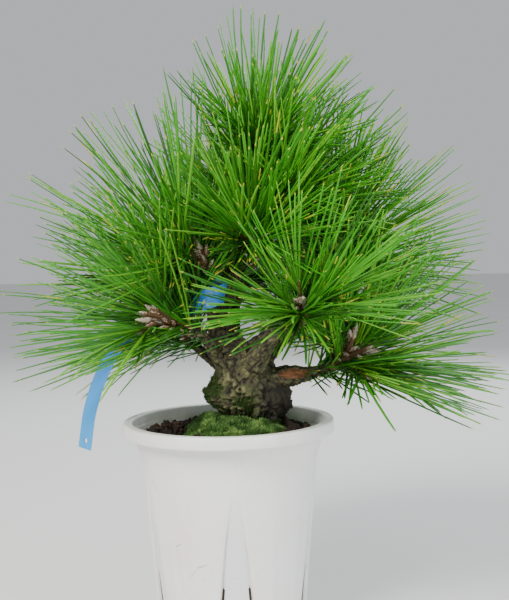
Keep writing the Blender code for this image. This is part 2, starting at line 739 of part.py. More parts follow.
def add_needle(root, middle, tip):
    """A three-sided needle, slim at its root, with one slight bend and a pointed tip."""
    first, second = cross_axes(np.array((root, middle, tip)), (0.3, 0.9, 0.2))
    vertices = []
    for place, point, width in ((0, root, NEEDLE_ROOT_WIDTH), (1, middle, NEEDLE_WIDTH)):
        for k in range(3):
            angle = k * 2 * math.pi / 3
            sideways = math.cos(angle) * first[place] + math.sin(angle) * second[place]
            vertices.append(point + sideways * width / 2)
    vertices.append(tip)
    faces = [(0, 1, 2)]
    for k in range(3):
        after = (k + 1) % 3
        faces.append((k, after, 3 + after, 3 + k))
        faces.append((3 + k, 3 + after, 6))
    return add_object("needle", vertices, faces, "pine_green")


def make_mass(name, twigs, needles):
    """One solid of a mass: its stem, with twigs, buds and needles fused on."""
    parts = []
    for number, (path, radii, aim, wanted) in enumerate(twigs):
        label = name if number == 0 else "twig"
        size = BUD_RADIUS if wanted != SIDE_NEEDLES else BUD_RADIUS * 0.6
        bud_length = BUD_LENGTH if wanted != SIDE_NEEDLES else BUD_LENGTH * 0.6
        top = path[-1] + aim * bud_length
        line = np.vstack((path, top[None]))
        sizes = np.concatenate((radii, (size * 0.8,)))
        sides = STEM_SIDES if wanted != SIDE_NEEDLES else 3
        parts.append(add_object(label, *tube(rings_round(line, sizes, sides)), "pine_green"))
    stem = parts.pop(0)
    parts += [add_needle(*needle) for needle in needles]
    combine(stem, parts, "UNION", "MANIFOLD")  # EXACT leaves open edges between slim needles
    keep_main_shell(stem)
    return stem


def make_masses():
    """All masses: their twigs first, so that the needles of each keep clear of the others'."""
    limbs = limb_balls()
    centres = {name: mass_centre(name) for name in MASSES}
    all_twigs = {name: grow_twigs(name, limbs) for name in MASSES}
    for name, twigs in all_twigs.items():
        near = [limbs] + [twig_balls(all_twigs[other]) for other in MASSES if other != name]
        balls = tuple(np.concatenate(side) for side in zip(*near))
        make_mass(name, twigs, grow_needles(name, twigs, centres, balls))


def make_strap():
    """The blue band: looped round a bough, then behind the left needles and down."""
    points, across = strap_points(STRAP_STEPS)
    along = np.gradient(points, axis=0)
    along /= np.linalg.norm(along, axis=1)[:, None]
    outward = np.cross(along, across)
    rings = np.stack([
        points + across * STRAP_WIDTH / 2 * a + outward * STRAP_THICKNESS / 2 * b
        for a, b in ((-1, -1), (1, -1), (1, 1), (-1, 1))
    ], axis=1)
    strap = add_object("label_strap", *tube(rings), "blue_plastic")
    hole = points[-1] - along[-1] * STRAP_HOLE_FROM_END
    rod = np.array((hole - outward[-1] * 3 * MM, hole + outward[-1] * 3 * MM))
    sizes = (STRAP_HOLE_RADIUS, STRAP_HOLE_RADIUS)
    punch = add_object("punch", *tube(rings_round(rod, sizes, 12)), "blue_plastic")
    combine(strap, [punch], "DIFFERENCE")
    return strap


def main():
    for thing in list(bpy.data.objects):
        bpy.data.objects.remove(thing)
    make_pot()
    make_soil()
    make_moss()
    make_trunk()
    for name in BOUGHS:
        make_bough(name)
    make_strap()
    make_masses()


if __name__ == "__main__":
    main()
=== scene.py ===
"""Finished looks of a corky bark Japanese black pine bonsai in its white plastic pot.

Metres, +Z up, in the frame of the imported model.  Every surface here is worked out with numpy from
named sizes: bark carried along the limbs, needles in pairs round each shoot, the pot's wall on a
grid of height and angle.
"""
import math
import random

import bpy
import numpy as np
from bpy.props import FloatProperty, FloatVectorProperty, IntProperty, PointerProperty
from bpy.types import Operator, Panel, PropertyGroup
from mathutils import Matrix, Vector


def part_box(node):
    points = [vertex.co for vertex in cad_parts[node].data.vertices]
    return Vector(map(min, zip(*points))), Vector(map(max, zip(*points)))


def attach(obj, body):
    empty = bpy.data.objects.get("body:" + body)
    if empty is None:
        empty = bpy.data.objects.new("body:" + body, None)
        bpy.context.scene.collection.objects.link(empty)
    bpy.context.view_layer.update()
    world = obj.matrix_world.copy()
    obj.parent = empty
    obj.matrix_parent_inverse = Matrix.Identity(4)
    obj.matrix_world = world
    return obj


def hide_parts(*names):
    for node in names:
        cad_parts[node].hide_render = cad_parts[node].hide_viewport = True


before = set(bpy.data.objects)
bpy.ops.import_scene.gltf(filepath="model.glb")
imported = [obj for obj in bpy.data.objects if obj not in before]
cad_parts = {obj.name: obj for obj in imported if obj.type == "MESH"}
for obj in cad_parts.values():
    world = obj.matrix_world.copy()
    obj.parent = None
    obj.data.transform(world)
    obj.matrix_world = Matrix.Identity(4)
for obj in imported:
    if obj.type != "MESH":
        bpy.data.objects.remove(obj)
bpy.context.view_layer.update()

bl_info = {
    "name": "Potted Pine Bonsai",
    "version": (1, 0, 0),
    "blender": (4, 5, 0),
    "location": "3D View > Sidebar > Bonsai",
    "description": "Builds a pine bonsai with corky bark, long needles, moss, soil and pot",
    "category": "Add Mesh",
}

POT_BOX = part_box("pot")

MM = 0.001
UP = np.array((0.0, 0.0, 1.0))
EVEN_STEPS = (0.7548777, 0.5698403)  # their multiples fill a square evenly, in any number
GOLDEN_TURN = math.pi * (3 - math.sqrt(5))
SEED = 16

# Pot
FACE_COUNT = 5
FRONT_FACE_ANGLE = math.radians(-85.3)
FACE_HALF_ANGLE = math.radians(25.5)
FACE_FLATNESS = 1.4 * MM
FOOT_RADIUS = 45.5 * MM
BODY_RADIUS = 55.4 * MM
BODY_TOP = 124 * MM
SHOULDER_TOP = 129 * MM
FLARE_FOOT = 108 * MM
FLARE = 2.2 * MM
RIM_INNER_RADIUS = 59.2 * MM
LIP_HEIGHT = 7.7 * MM
LIP_THICKNESS = 1.6 * MM
LIP_ROUNDING = 1.2 * MM
WALL = 1.8 * MM
FLOOR = 2.4 * MM
RECESS_APEX = 100 * MM
RECESS_DEPTH = 3.4 * MM
RECESS_STEP = 0.7 * MM
# painted shade: a cooler, darker tint for the recess's panels
RECESS_SHADE_TINT = (0.90, 0.92, 0.95)
SLIT_TOP = 44 * MM
SLIT_FOOT = 5 * MM
SLIT_WIDTH = 1.5 * MM
DRAIN_RING_RADIUS = 26 * MM
DRAIN_RADIUS = 3.5 * MM

# Soil and moss
SOIL_TOP = 127 * MM
SOIL_RADIUS = 53.5 * MM
SOIL_BANKS = ((-35, 4, 13, 5.5), (38, 2, 12, 5.0), (20, 36, 14, 3.5))  # x, y, reach, height in mm
MOSS_INNER_RADIUS = 11.5 * MM
MOSS_REACH = 27 * MM
MOSS_SIDE_REACH = 13 * MM
MOSS_LEAN_ANGLE = math.radians(215)

MOSS_GRID = (26, 150)  # rows outwards, columns round the trunk's foot

# Trunk, in mm from foot to tip: x, y, z, radius, share by which its left and right stand out
TRUNK_LINE = (
    (10.5, 1.0, 127.3, 11.6, 0.02),
    (10.5, 1.0, 133.0, 10.2, 0.02),
    (10.5, 1.0, 139.5, 11.8, 0.10),
    (10.8, 1.0, 145.0, 17.4, 0.18),
    (10.8, 1.0, 152.0, 20.0, 0.18),
    (10.0, 1.2, 160.0, 19.0, 0.12),
    (7.0, 1.8, 168.0, 15.0, 0.08),
    (3.0, 2.6, 176.0, 11.0, 0.05),
    (-1.6, 3.6, 184.0, 8.6, 0.03),
    (-4.4, 4.4, 194.0, 7.2, 0.02),
    (-3.6, 4.6, 206.0, 6.6, 0.02),
    (1.0, 4.2, 217.0, 6.2, 0.02),
    (7.2, 3.2, 229.0, 5.6, 0.02),
    (11.4, 2.0, 250.0, 4.8, 0.02),
    (13.8, 1.4, 273.0, 4.2, 0.02),
    (18.8, 1.8, 291.0, 3.4, 0.00),
)

# Limbs, in mm: points from the trunk's middle outwards, base radius, tip radius
BOUGHS = {
    "bough_left_low": (((3, 0, 164), (-7, -7, 176), (-15, -13, 190), (-23, -16, 195)), 4.2, 2.6),
    "bough_left_high": (((-3, 4, 192), (-9, -3, 203), (-14, -8, 210), (-17, -10, 217)), 3.8, 3.0),
    "bough_front": (
        ((9, 1, 158), (18, -12, 173), (28, -25, 188), (39, -40, 195), (44, -50, 200)),
        7.4,
        3.4,
    ),
    "bough_right_low": (((14, 0, 156), (32, -4, 161), (50, -8, 164), (62, -12, 168)), 7.2, 2.6),
    "bough_right_high": (((6, 2, 168), (24, 9, 184), (48, 22, 204), (62, 30, 224)), 5.6, 2.8),
    "bough_back_left": (((-4, 4, 198), (-11, 16, 209), (-22, 27, 220)), 3.8, 2.6),
    "bough_back": (((4, 3, 176), (4, 22, 192), (5, 42, 207), (6, 50, 214)), 5.0, 2.8),
    "bough_back_right": (((12, 2, 156), (24, 22, 169), (38, 40, 182), (44, 48, 188)), 5.0, 2.8),
    "bough_back_low": (((6, 2, 158), (-8, 24, 168), (-22, 38, 178), (-29, 44, 182)), 4.6, 2.6),
}
SPURS = {
    "spur_front": (((11, 2, 236), (16, -14, 243)), 3.0, 3.0),
    "spur_right": (((13, 1.6, 256), (30, 0, 263)), 3.0, 3.0),
    "spur_back": (((12.5, 1.6, 262), (10, 16, 270)), 2.8, 2.8),
}
COLLAR_FLARE = 1.55
TRUNK_GRID = (380, 220)  # rings along the trunk, points round it
BOUGH_RINGS = 130
SPUR_RINGS = 50
LIMB_SIDES = 72
LIMB_PLATES = 0.62  # width of a plate on a bough, as a share of one on the trunk

# Needle masses, in mm: what carries it, each shoot's bud and aim, needle length, widest angle
MASSES = {
    "needles_top": ("trunk", (((24.5, 2, 317), (0.28, -0.05, 1)),), 82, 76),
    "needles_leader_right": ("spur_right", (((48, -1, 276), (0.8, -0.1, 1)),), 88, 62),
    "needles_leader_front": ("spur_front", (((20, -30, 254), (0.15, -0.8, 1)),), 84, 66),
    "needles_leader_back": ("spur_back", (((8, 31, 284), (-0.1, 0.75, 1)),), 84, 66),
    "needles_left_high": ("bough_left_high", (((-18, -14, 249), (-0.4, -0.2, 1)),), 112, 64),
    "needles_left_low": (
        "bough_left_low",
        (((-54, -20, 200), (-1, -0.2, 0.12)), ((-48, -19, 209), (-0.85, 0.0, 0.7))),
        94,
        74,
    ),
    "needles_front": ("bough_front", (((45, -68, 213), (0.1, -1, 0.25)),), 84, 96),
    "needles_right_low": (
        "bough_right_low",
        (((93, -18, 178), (1, -0.15, 0.05)), ((79, -20, 195), (0.35, -0.4, 1))),
        90,
        70,
    ),
    "needles_right_high": (
        "bough_right_high",
        (((63, 37, 248), (0.45, 0.15, 1)), ((79, 30, 236), (1, -0.1, 0.5))),
        104,
        62,
    ),
    "needles_back_left": ("bough_back_left", (((-38, 38, 232), (-0.8, 0.5, 0.62)),), 96, 74),
    "needles_back": ("bough_back", (((6, 64, 226), (-0.1, 1, 0.75)),), 92, 76),
    "needles_back_right": ("bough_back_right", (((56, 62, 198), (0.75, 0.9, 0.32)),), 92, 78),
    "needles_back_low": ("bough_back_low", (((-42, 54, 190), (-0.8, 0.8, 0.12)),), 88, 76),
}
# Shoots whose buds show from the camera: degrees round the bud that stay free of needles
OPEN_HEARTS = {
    "needles_front": 27,
    "needles_left_low": 20,
    "needles_right_low": 22,
    "needles_left_high": 16,
}
SHOOT_HEART = 12  # the same on the other shoots
SIDE_HEART = 8
SIDE_WIDEST = 62
BUD_LENGTH = 15 * MM
BUD_RADIUS = 2.7 * MM
BUD_GRID = (16, 10)
SMALL_BUDS = 16  # round and below each shoot's own bud
FORK_REACH = 4 * MM
SIDE_TWIG_LENGTH = 19 * MM
SIDE_TWIG_RADIUS = 1.2 * MM
SIDE_TWIG_OPENING = math.radians(48)
SIDE_REACH = 0.80  # length of a side twig's needles, as a share of its shoot's
NEEDLE_STOPS = np.array((0.0, 0.04, 0.30, 0.58, 0.84, 0.97))
NEEDLE_SHAPE = np.array((0.80, 0.92, 1.0, 1.0, 0.92, 0.62))
LOWEST_TIP = 131 * MM

# Label strap, in mm: middle of the band and the way its width runs, from the tucked end down
STRAP_LINE = (
    ((-26, -7.5, 220), (0, 0, 1)),
    ((-16, -4.6, 218.5), (0, 0, 1)),
    ((-8, -5.6, 217.5), (0, 0, 1)),
    ((-1.6, -9.0, 216.5), (0.1, 0, 1)),
    ((0.4, -14.0, 215), (0.25, 0, 1)),
    ((-3.2, -18.8, 213.5), (0.25, 0, 1)),
    ((-10, -20.4, 211.5), (0.2, 0, 1)),
    ((-18, -16.2, 208.5), (0.1, 0.1, 1)),
    ((-26, -7.5, 203), (-0.1, 0.4, 1)),
    ((-37, -1.5, 198.5), (-0.2, 0.8, 0.9)),
    ((-50, -0.5, 194.5), (-0.3, 0.9, 0.8)),
    ((-62, -3, 188.5), (-0.5, 0.8, 0.6)),
    ((-71, -5, 177), (-0.65, 0.7, 0.3)),
    ((-78, -7, 163), (-0.72, 0.68, 0.15)),
    ((-84, -9, 145), (-0.74, 0.67, 0.1)),
    ((-88, -10, 121), (-0.74, 0.67, 0.05)),
)
STRAP_WIDTH = 12 * MM
STRAP_THICKNESS = 0.6 * MM
STRAP_HOLE_RADIUS = 1.5 * MM
STRAP_HOLE_FROM_END = 5.5 * MM
STRAP_GRID = (260, 24)  # rows along the strap, columns across it

# Camera, at the photograph's angle
CAMERA_PLACE = (17.7 * MM, -616 * MM, 239.4 * MM)
CAMERA_PITCH = math.radians(2.81)
CAMERA_ROLL = math.radians(-1.26)
CAMERA_LENS = 60


class PotSettings(PropertyGroup):
    rim_radius: FloatProperty(
        name="Rim radius",
        description="Outer radius of the pot's lip",
        default=65 * MM,
        unit="LENGTH",
    )
    height: FloatProperty(
        name="Height",
        description="Height of the pot from its underside to its lip",
        default=float(POT_BOX[1][2]),
        unit="LENGTH",
    )
    colour: FloatVectorProperty(
        name="Plastic",
        description="Colour of the pot's plastic",
        default=(0.90, 0.893, 0.872),
        subtype="COLOR",
    )
    stain: FloatVectorProperty(
        name="Stain",
        description="Colour of the dirt that clings to the pot",
        default=(0.33, 0.27, 0.20),
        subtype="COLOR",
    )


class GroundSettings(PropertyGroup):
    crumbs: IntProperty(
        name="Crumbs",
        description="How many lumps of soil lie on top",
        default=2200,
        min=1,
    )
    tufts: IntProperty(
        name="Moss tufts",
        description="How many tufts of moss stand on the mound",
        default=7000,
        min=1,
    )
    moss_height: FloatProperty(
        name="Moss height",
        description="Height of the moss mound where it is highest",
        default=11 * MM,
        unit="LENGTH",
    )
    soil: FloatVectorProperty(
        name="Soil",
        description="Colour of the damp soil",
        default=(0.040, 0.021, 0.012),
        subtype="COLOR",
    )
    moss: FloatVectorProperty(
        name="Moss",
        description="Colour of the moss",
        default=(0.066, 0.165, 0.024),
        subtype="COLOR",
    )


class BarkSettings(PropertyGroup):
    relief: FloatProperty(
        name="Relief",
        description="Depth of the fissures as a share of the limb's radius",
        default=0.17,
        min=0.0,
        max=0.5,
    )
    plate: FloatProperty(
        name="Plate size",
        description="Usual width of one plate of bark on the trunk",
        default=5.5 * MM,
        unit="LENGTH",
    )
    fissure: FloatVectorProperty(
        name="Fissure",
        description="Colour deep between the plates",
        default=(0.010, 0.008, 0.005),
        subtype="COLOR",
    )
    ridge: FloatVectorProperty(
        name="Ridge",
        description="Colour on top of the plates",
        default=(0.195, 0.165, 0.075),
        subtype="COLOR",
    )


class NeedleSettings(PropertyGroup):
    width: FloatProperty(
        name="Width",
        description="Width of one needle",
        default=1.45 * MM,
        unit="LENGTH",
    )
    shoot_pairs: IntProperty(
        name="Pairs on a shoot",
        description="Pairs of long needles round each main shoot",
        default=34,
        min=1,
    )
    twig_pairs: IntProperty(
        name="Pairs on a side twig",
        description="Pairs of needles round each side twig",
        default=12,
        min=1,
    )
    side_twigs: IntProperty(
        name="Side twigs",
        description="Side twigs that grow from each shoot",
        default=5,
        min=0,
    )
    green: FloatVectorProperty(
        name="Green",
        description="Colour of most needles",
        default=(0.048, 0.30, 0.007),
        subtype="COLOR",
    )


class StrapSettings(PropertyGroup):
    colour: FloatVectorProperty(
        name="Strap",
        description="Colour of the strap's plastic",
        default=(0.030, 0.21, 0.60),
        subtype="COLOR",
    )


class StageSettings(PropertyGroup):
    floor: FloatVectorProperty(
        name="Floor",
        description="Colour of the plain floor",
        default=(0.74, 0.74, 0.73),
        subtype="COLOR",
    )
    floor_size: FloatProperty(
        name="Floor size",
        description="Side of the square floor",
        default=16.0,
        unit="LENGTH",
    )


class BonsaiSettings(PropertyGroup):
    pot: PointerProperty(type=PotSettings)
    ground: PointerProperty(type=GroundSettings)
    bark: PointerProperty(type=BarkSettings)
    needles: PointerProperty(type=NeedleSettings)
    strap: PointerProperty(type=StrapSettings)
    stage: PointerProperty(type=StageSettings)


# Small sums


def unit(vectors):
    """Vectors of length one, whatever the leading shape."""
    vectors = np.asarray(vectors, dtype=float)
    return vectors / np.linalg.norm(vectors, axis=-1, keepdims=True)


def eased(low, high, values):
    """0 below low, 1 above high, and a smooth S between: 3t^2 - 2t^3."""
    t = np.clip((values - low) / (high - low), 0.0, 1.0)
    return t * t * (3 - 2 * t)


def spline(rows, count):
    """Rows of numbers eased through the given ones, evenly spaced along their x, y and z."""
    rows = np.asarray(rows, dtype=float)
    steps = np.linalg.norm(np.diff(rows[:, :3], axis=0), axis=1)
    along = np.concatenate(([0.0], np.cumsum(steps)))
    slopes = np.gradient(rows, along, axis=0)
    at = np.linspace(0.0, along[-1], count)
    k = np.clip(np.searchsorted(along, at, side="right") - 1, 0, len(rows) - 2)
    span = (along[k + 1] - along[k])[:, None]
    t = (at - along[k])[:, None] / span
    start = (1 + 2 * t) * (1 - t) ** 2 * rows[k] + t * (1 - t) ** 2 * span * slopes[k]
    end = t**2 * (3 - 2 * t) * rows[k + 1] + t**2 * (t - 1) * span * slopes[k + 1]
    return start + end


def cell_values(*cells, seed=0):
    """Even numbers from 0 to 1 for whole-numbered cells: their bits are mixed with the seed's."""
    mixed = np.full(np.broadcast(*cells).shape, (seed * 2654435761 + 97) % 2**32, dtype=np.uint64)
    for cell in cells:
        mixed = (mixed ^ (np.asarray(cell).astype(np.int64) & 0xFFFFFFFF).astype(np.uint64)) * 0x9E3779B1
        mixed = (mixed ^ (mixed >> 15)) & 0xFFFFFFFF
        mixed = (mixed * 0x85EBCA6B) & 0xFFFFFFFF
        mixed = mixed ^ (mixed >> 13)
    return mixed / 2.0**32


def soft_noise(points, seed):
    """Values from -1 to 1: cell corners' numbers blended with the eased place in the cell."""
    low = np.floor(points)
    part = points - low
    part = part * part * (3 - 2 * part)
    total = np.zeros(points.shape[:-1])
    for corner in np.ndindex(2, 2, 2):
        weights = np.prod(np.where(corner, part, 1 - part), axis=-1)
        cell = low + corner
        total += weights * cell_values(cell[..., 0], cell[..., 1], cell[..., 2], seed=seed)
    return total * 2 - 1


def rough_noise(points, seed, octaves=3):
    """Soft noise plus the same at twice the detail and half the strength, a few times over."""
    return sum(soft_noise(points * 2**k + 17.3 * k, seed + k) / 2**k for k in range(octaves))


def plates(u, v, wrap, seed):
    """Cells round scattered seeds on a sheet that closes after wrap cells of u.

    Gives how much nearer the nearest seed is than the next one, and the nearest seed's number.
    """
    nearest = np.full(u.shape, 9.0)
    second = nearest.copy()
    own = np.zeros(u.shape)
    for du, dv in np.ndindex(3, 3):
        cell_u = np.floor(u) + du - 1
        cell_v = np.floor(v) + dv - 1
        key = np.mod(cell_u, wrap)
        seed_u = cell_u + 0.12 + 0.76 * cell_values(key, cell_v, seed=seed)
        seed_v = cell_v + 0.12 + 0.76 * cell_values(key, cell_v, seed=seed + 1)
        away = np.hypot(u - seed_u, v - seed_v)
        closer = away < nearest
        second = np.where(closer, nearest, np.minimum(second, away))
        own = np.where(closer, cell_values(key, cell_v, seed=seed + 2), own)
        nearest = np.where(closer, away, nearest)
    return second - nearest, own


def path_axes(points, side=(1.0, 0.0, 0.0)):
    """For each point of a path, two directions square to it that turn as little as they can."""
    along = unit(np.gradient(points, axis=0))
    side = np.asarray(side, dtype=float)
    if abs(along[0] @ side) > 0.95:
        side = np.array((0.0, 1.0, 0.0))
    first = np.empty_like(along)
    for k, direction in enumerate(along):
        side = unit(side - (side @ direction) * direction)
        first[k] = side
    return first, np.cross(along, first)


def ring_directions(points, sides):
    """Directions square to a path all round each of its points: cos a first + sin a second."""
    first, second = path_axes(points)
    angles = np.linspace(0, 2 * math.pi, sides, endpoint=False)
    across = np.cos(angles)[None, :, None] * first[:, None, :]
    return across + np.sin(angles)[None, :, None] * second[:, None, :], angles


def on_path(at, along, path):
    """Points of a path at given lengths, each coordinate read off between its samples."""
    return np.stack([np.interp(at, along, path[:, axis]) for axis in range(3)], axis=1)


def block_edge(first_row, row_count, first_column, column_count):
    """Rows and columns of the grid points round a block of quads, each corner once."""
    rows = np.arange(first_row, first_row + row_count + 1)
    columns = np.arange(first_column, first_column + column_count + 1)
    low_row, high_row = (np.full(column_count, rows[end]) for end in (0, -1))
    low_column, high_column = (np.full(row_count, columns[end]) for end in (0, -1))
    around_rows = np.concatenate((low_row, rows[:-1], high_row, rows[:0:-1]))
    around_columns = np.concatenate((columns[:-1], high_column, columns[:0:-1], low_column))
    return around_rows, around_columns


# Meshes


def grid_quads(rows, columns, wrapped=True):
    """Quads between neighbouring rows and columns of points, closed round where wrapped."""
    row = np.arange(rows - 1)[:, None]
    column = np.arange(columns if wrapped else columns - 1)[None, :]
    after = (column + 1) % columns
    low = row * columns
    high = low + columns
    return np.stack(
        np.broadcast_arrays(low + column, low + after, high + after, high + column), axis=-1
    ).reshape(-1, 4)


def end_fans(rows, columns):
    """Triangles from each end ring of a tube to a middle point kept after all rings."""
    column = np.arange(columns)
    after = (column + 1) % columns
    first = rows * columns
    foot = np.stack((after, column, np.full(columns, first)), axis=-1)
    top = np.stack((column, after, np.full(columns, first + 1)), axis=-1)
    top[:, :2] += (rows - 1) * columns
    return np.concatenate((foot, top))


def tube_mesh(rings):
    """Points, quads and triangles of a closed tube through the given rings of points."""
    rows, columns, _ = rings.shape
    ends = np.stack((rings[0].mean(axis=0), rings[-1].mean(axis=0)))
    points = np.concatenate((rings.reshape(-1, 3), ends))
    return points, grid_quads(rows, columns), end_fans(rows, columns)


def joined(parts):
    """Several (points, quads, triangles) as one, with the faces' numbers moved on."""
    starts = np.cumsum([0] + [len(points) for points, _, _ in parts])
    points = np.concatenate([points for points, _, _ in parts])
    quads = np.concatenate([quads + start for (_, quads, _), start in zip(parts, starts)])
    triangles = np.concatenate([tris + start for (_, _, tris), start in zip(parts, starts)])
    return points, quads, triangles


def scattered(shape, places, turns, sizes):
    """Copies of a small shape: each point times size, turned by a 3 by 3 matrix, put at a place."""
    points, quads, triangles = shape
    sizes = np.asarray(sizes, dtype=float).reshape(len(places), 1, -1)
    copies = np.einsum("nij,nvj->nvi", turns, points[None] * sizes) + places[:, None, :]
    starts = (np.arange(len(places)) * len(points))[:, None, None]
    return (
        copies.reshape(-1, 3),
        (quads[None] + starts).reshape(-1, 4),
        (triangles[None] + starts).reshape(-1, 3),
    )


def turned_up(directions, spins):
    """Matrices that turn +Z to each direction after a spin about it."""
    first = unit(np.cross(directions, np.where(np.abs(directions[:, 2:]) < 0.9, UP, (1.0, 0.0, 0.0))))
    second = np.cross(directions, first)
    cos, sin = np.cos(spins)[:, None], np.sin(spins)[:, None]
    return np.stack((cos * first + sin * second, cos * second - sin * first, directions), axis=-1)


def add_piece(name, mesh_parts, materials, nodes=(), slots=None, smooth=True, values=None):
    """A mesh object from points, quads and triangles, riding on the root body.

    slots gives each face's material, quads first; values holds attributes for the points.
    """
    points, quads, triangles = mesh_parts
    mesh = bpy.data.meshes.new(name)
    mesh.vertices.add(len(points))
    mesh.vertices.foreach_set("co", np.ascontiguousarray(points, dtype=np.float32).ravel())
    corners = np.concatenate((quads.ravel(), triangles.ravel())).astype(np.int32)
    mesh.loops.add(len(corners))
    mesh.loops.foreach_set("vertex_index", corners)
    sizes = np.concatenate((np.full(len(quads), 4), np.full(len(triangles), 3)))
    starts = np.concatenate(([0], np.cumsum(sizes)[:-1])).astype(np.int32)
    mesh.polygons.add(len(sizes))
    mesh.polygons.foreach_set("loop_start", starts)
    mesh.update(calc_edges=True)
    mesh.validate()
    for material in materials:
        mesh.materials.append(material)
    if slots is not None:
        mesh.polygons.foreach_set("material_index", slots.astype(np.int32))
    mesh.polygons.foreach_set("use_smooth", np.full(len(sizes), smooth))
    for label, numbers in (values or {}).items():
        layer = mesh.attributes.new(label, "FLOAT", "POINT")
        layer.data.foreach_set("value", np.ascontiguousarray(numbers, dtype=np.float32))
    piece = bpy.data.objects.new(name, mesh)
    bpy.context.scene.collection.objects.link(piece)
    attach(piece, "root")
    if nodes:
        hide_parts(*nodes)
    return piece


# Materials


def new_material(name, colour, roughness, **sockets):
    """A Principled material with constants on its own sockets."""
    material = bpy.data.materials.new(name)
    material.use_nodes = True
    shader = material.node_tree.nodes["Principled BSDF"]
    shader.inputs["Base Color"].default_value = (*colour, 1.0)
    shader.inputs["Roughness"].default_value = roughness
    for label, value in sockets.items():
        shader.inputs[label.replace("_", " ")].default_value = value
    material.diffuse_color = (*colour, 1.0)
    return material


def add_node(tree, kind, **values):
    """A node with its properties set; a name that isn't a property is an input socket."""
    node = tree.nodes.new(kind)
    for label, value in values.items():
        if hasattr(node, label):
            setattr(node, label, value)
        else:
            node.inputs[label.replace("_", " ")].default_value = value
    return node


def new_group(name, inputs, outputs):
    """An empty shader group with named sockets: inputs have their defaults, outputs their kinds."""
    group = bpy.data.node_groups.new(name, "ShaderNodeTree")
    for label, kind, value in inputs:
        socket = group.interface.new_socket(label, in_out="INPUT", socket_type=kind)
        socket.default_value = value
    for label, kind in outputs:
        group.interface.new_socket(label, in_out="OUTPUT", socket_type=kind)
    return group, group.nodes.new("NodeGroupInput"), group.nodes.new("NodeGroupOutput")


def grain_group():
    """Two scales of noise on Object coordinates: a shade from 0 to 1, and a height of both."""
    name = "Crumbly grain"
    if name in bpy.data.node_groups:
        return bpy.data.node_groups[name]
    group, given, wanted = new_group(
        name,
        (
            ("Coarse scale", "NodeSocketFloat", 120.0),
            ("Fine scale", "NodeSocketFloat", 900.0),
            ("Fine share", "NodeSocketFloat", 0.4),
        ),
        (("Shade", "NodeSocketFloat"), ("Height", "NodeSocketFloat")),
    )
    place = add_node(group, "ShaderNodeTexCoord")
    coarse = add_node(group, "ShaderNodeTexNoise", Detail=4.0, Roughness=0.6)
    fine = add_node(group, "ShaderNodeTexNoise", Detail=3.0, Roughness=0.65)
    mixed = add_node(group, "ShaderNodeMix", data_type="FLOAT")
    contrast = add_node(group, "ShaderNodeMapRange")
    contrast.inputs["From Min"].default_value = 0.32
    contrast.inputs["From Max"].default_value = 0.68
    links = group.links
    for noise, label in ((coarse, "Coarse scale"), (fine, "Fine scale")):
        links.new(place.outputs["Object"], noise.inputs["Vector"])
        links.new(given.outputs[label], noise.inputs["Scale"])
    links.new(given.outputs["Fine share"], mixed.inputs[0])
    links.new(coarse.outputs["Fac"], mixed.inputs[2])
    links.new(fine.outputs["Fac"], mixed.inputs[3])
    links.new(mixed.outputs[0], contrast.inputs["Value"])
    links.new(contrast.outputs["Result"], wanted.inputs["Shade"])
    links.new(mixed.outputs[0], wanted.inputs["Height"])
    return group


def scratch_group():
    """A mask of one straight scratch: 1 on the line from start to end, easing to 0 at its width.

    The nearest place on the line is start + t (end - start), with t clamped from 0 to 1, and a
    little noise on the point makes the line waver.
    """
    name = "Scratch line"
    if name in bpy.data.node_groups:
        return bpy.data.node_groups[name]
    group, given, wanted = new_group(
        name,
        (
            ("Start", "NodeSocketVector", (0.0, 0.0, 0.0)),
            ("End", "NodeSocketVector", (0.0, 0.0, 0.01)),
            ("Width", "NodeSocketFloat", 0.0005),
            ("Strength", "NodeSocketFloat", 0.5),
        ),
        (("Mask", "NodeSocketFloat"),),
    )
    links = group.links

    def vector(operation, one, other):
        """A vector sum of two sockets: a number for a dot product or a distance."""
        node = add_node(group, "ShaderNodeVectorMath", operation=operation)
        for socket, value in zip(node.inputs, (one, other)):
            links.new(value, socket)
        return node.outputs["Value" if operation in ("DOT_PRODUCT", "DISTANCE") else "Vector"]

    def number(operation, one, other, clamped=False):
        """A sum of two number sockets, held from 0 to 1 where clamped."""
        node = add_node(group, "ShaderNodeMath", operation=operation, use_clamp=clamped)
        links.new(one, node.inputs[0])
        links.new(other, node.inputs[1])
        return node.outputs[0]

    place = add_node(group, "ShaderNodeTexCoord").outputs["Object"]
    waver = add_node(group, "ShaderNodeTexNoise", Scale=260.0, Detail=2.0)
    centred = add_node(group, "ShaderNodeVectorMath", operation="MULTIPLY_ADD")
    centred.inputs[1].default_value = (0.0016, 0.0016, 0.0016)
    centred.inputs[2].default_value = (-0.0008, -0.0008, -0.0008)
    links.new(place, waver.inputs["Vector"])
    links.new(waver.outputs["Color"], centred.inputs[0])
    point = vector("ADD", place, centred.outputs["Vector"])
    line = vector("SUBTRACT", given.outputs["End"], given.outputs["Start"])
    reach = vector("SUBTRACT", point, given.outputs["Start"])
    along = number("DIVIDE", vector("DOT_PRODUCT", reach, line), vector("DOT_PRODUCT", line, line), True)
    scaled = add_node(group, "ShaderNodeVectorMath", operation="SCALE")
    links.new(line, scaled.inputs[0])
    links.new(along, scaled.inputs["Scale"])
    away = vector("DISTANCE", reach, scaled.outputs["Vector"])
    share = number("DIVIDE", away, given.outputs["Width"])
    inverse = add_node(group, "ShaderNodeMath", operation="SUBTRACT", use_clamp=True)
    inverse.inputs[0].default_value = 1.0
    links.new(share, inverse.inputs[1])
    links.new(number("MULTIPLY", inverse.outputs[0], given.outputs["Strength"]), wanted.inputs["Mask"])
    return group


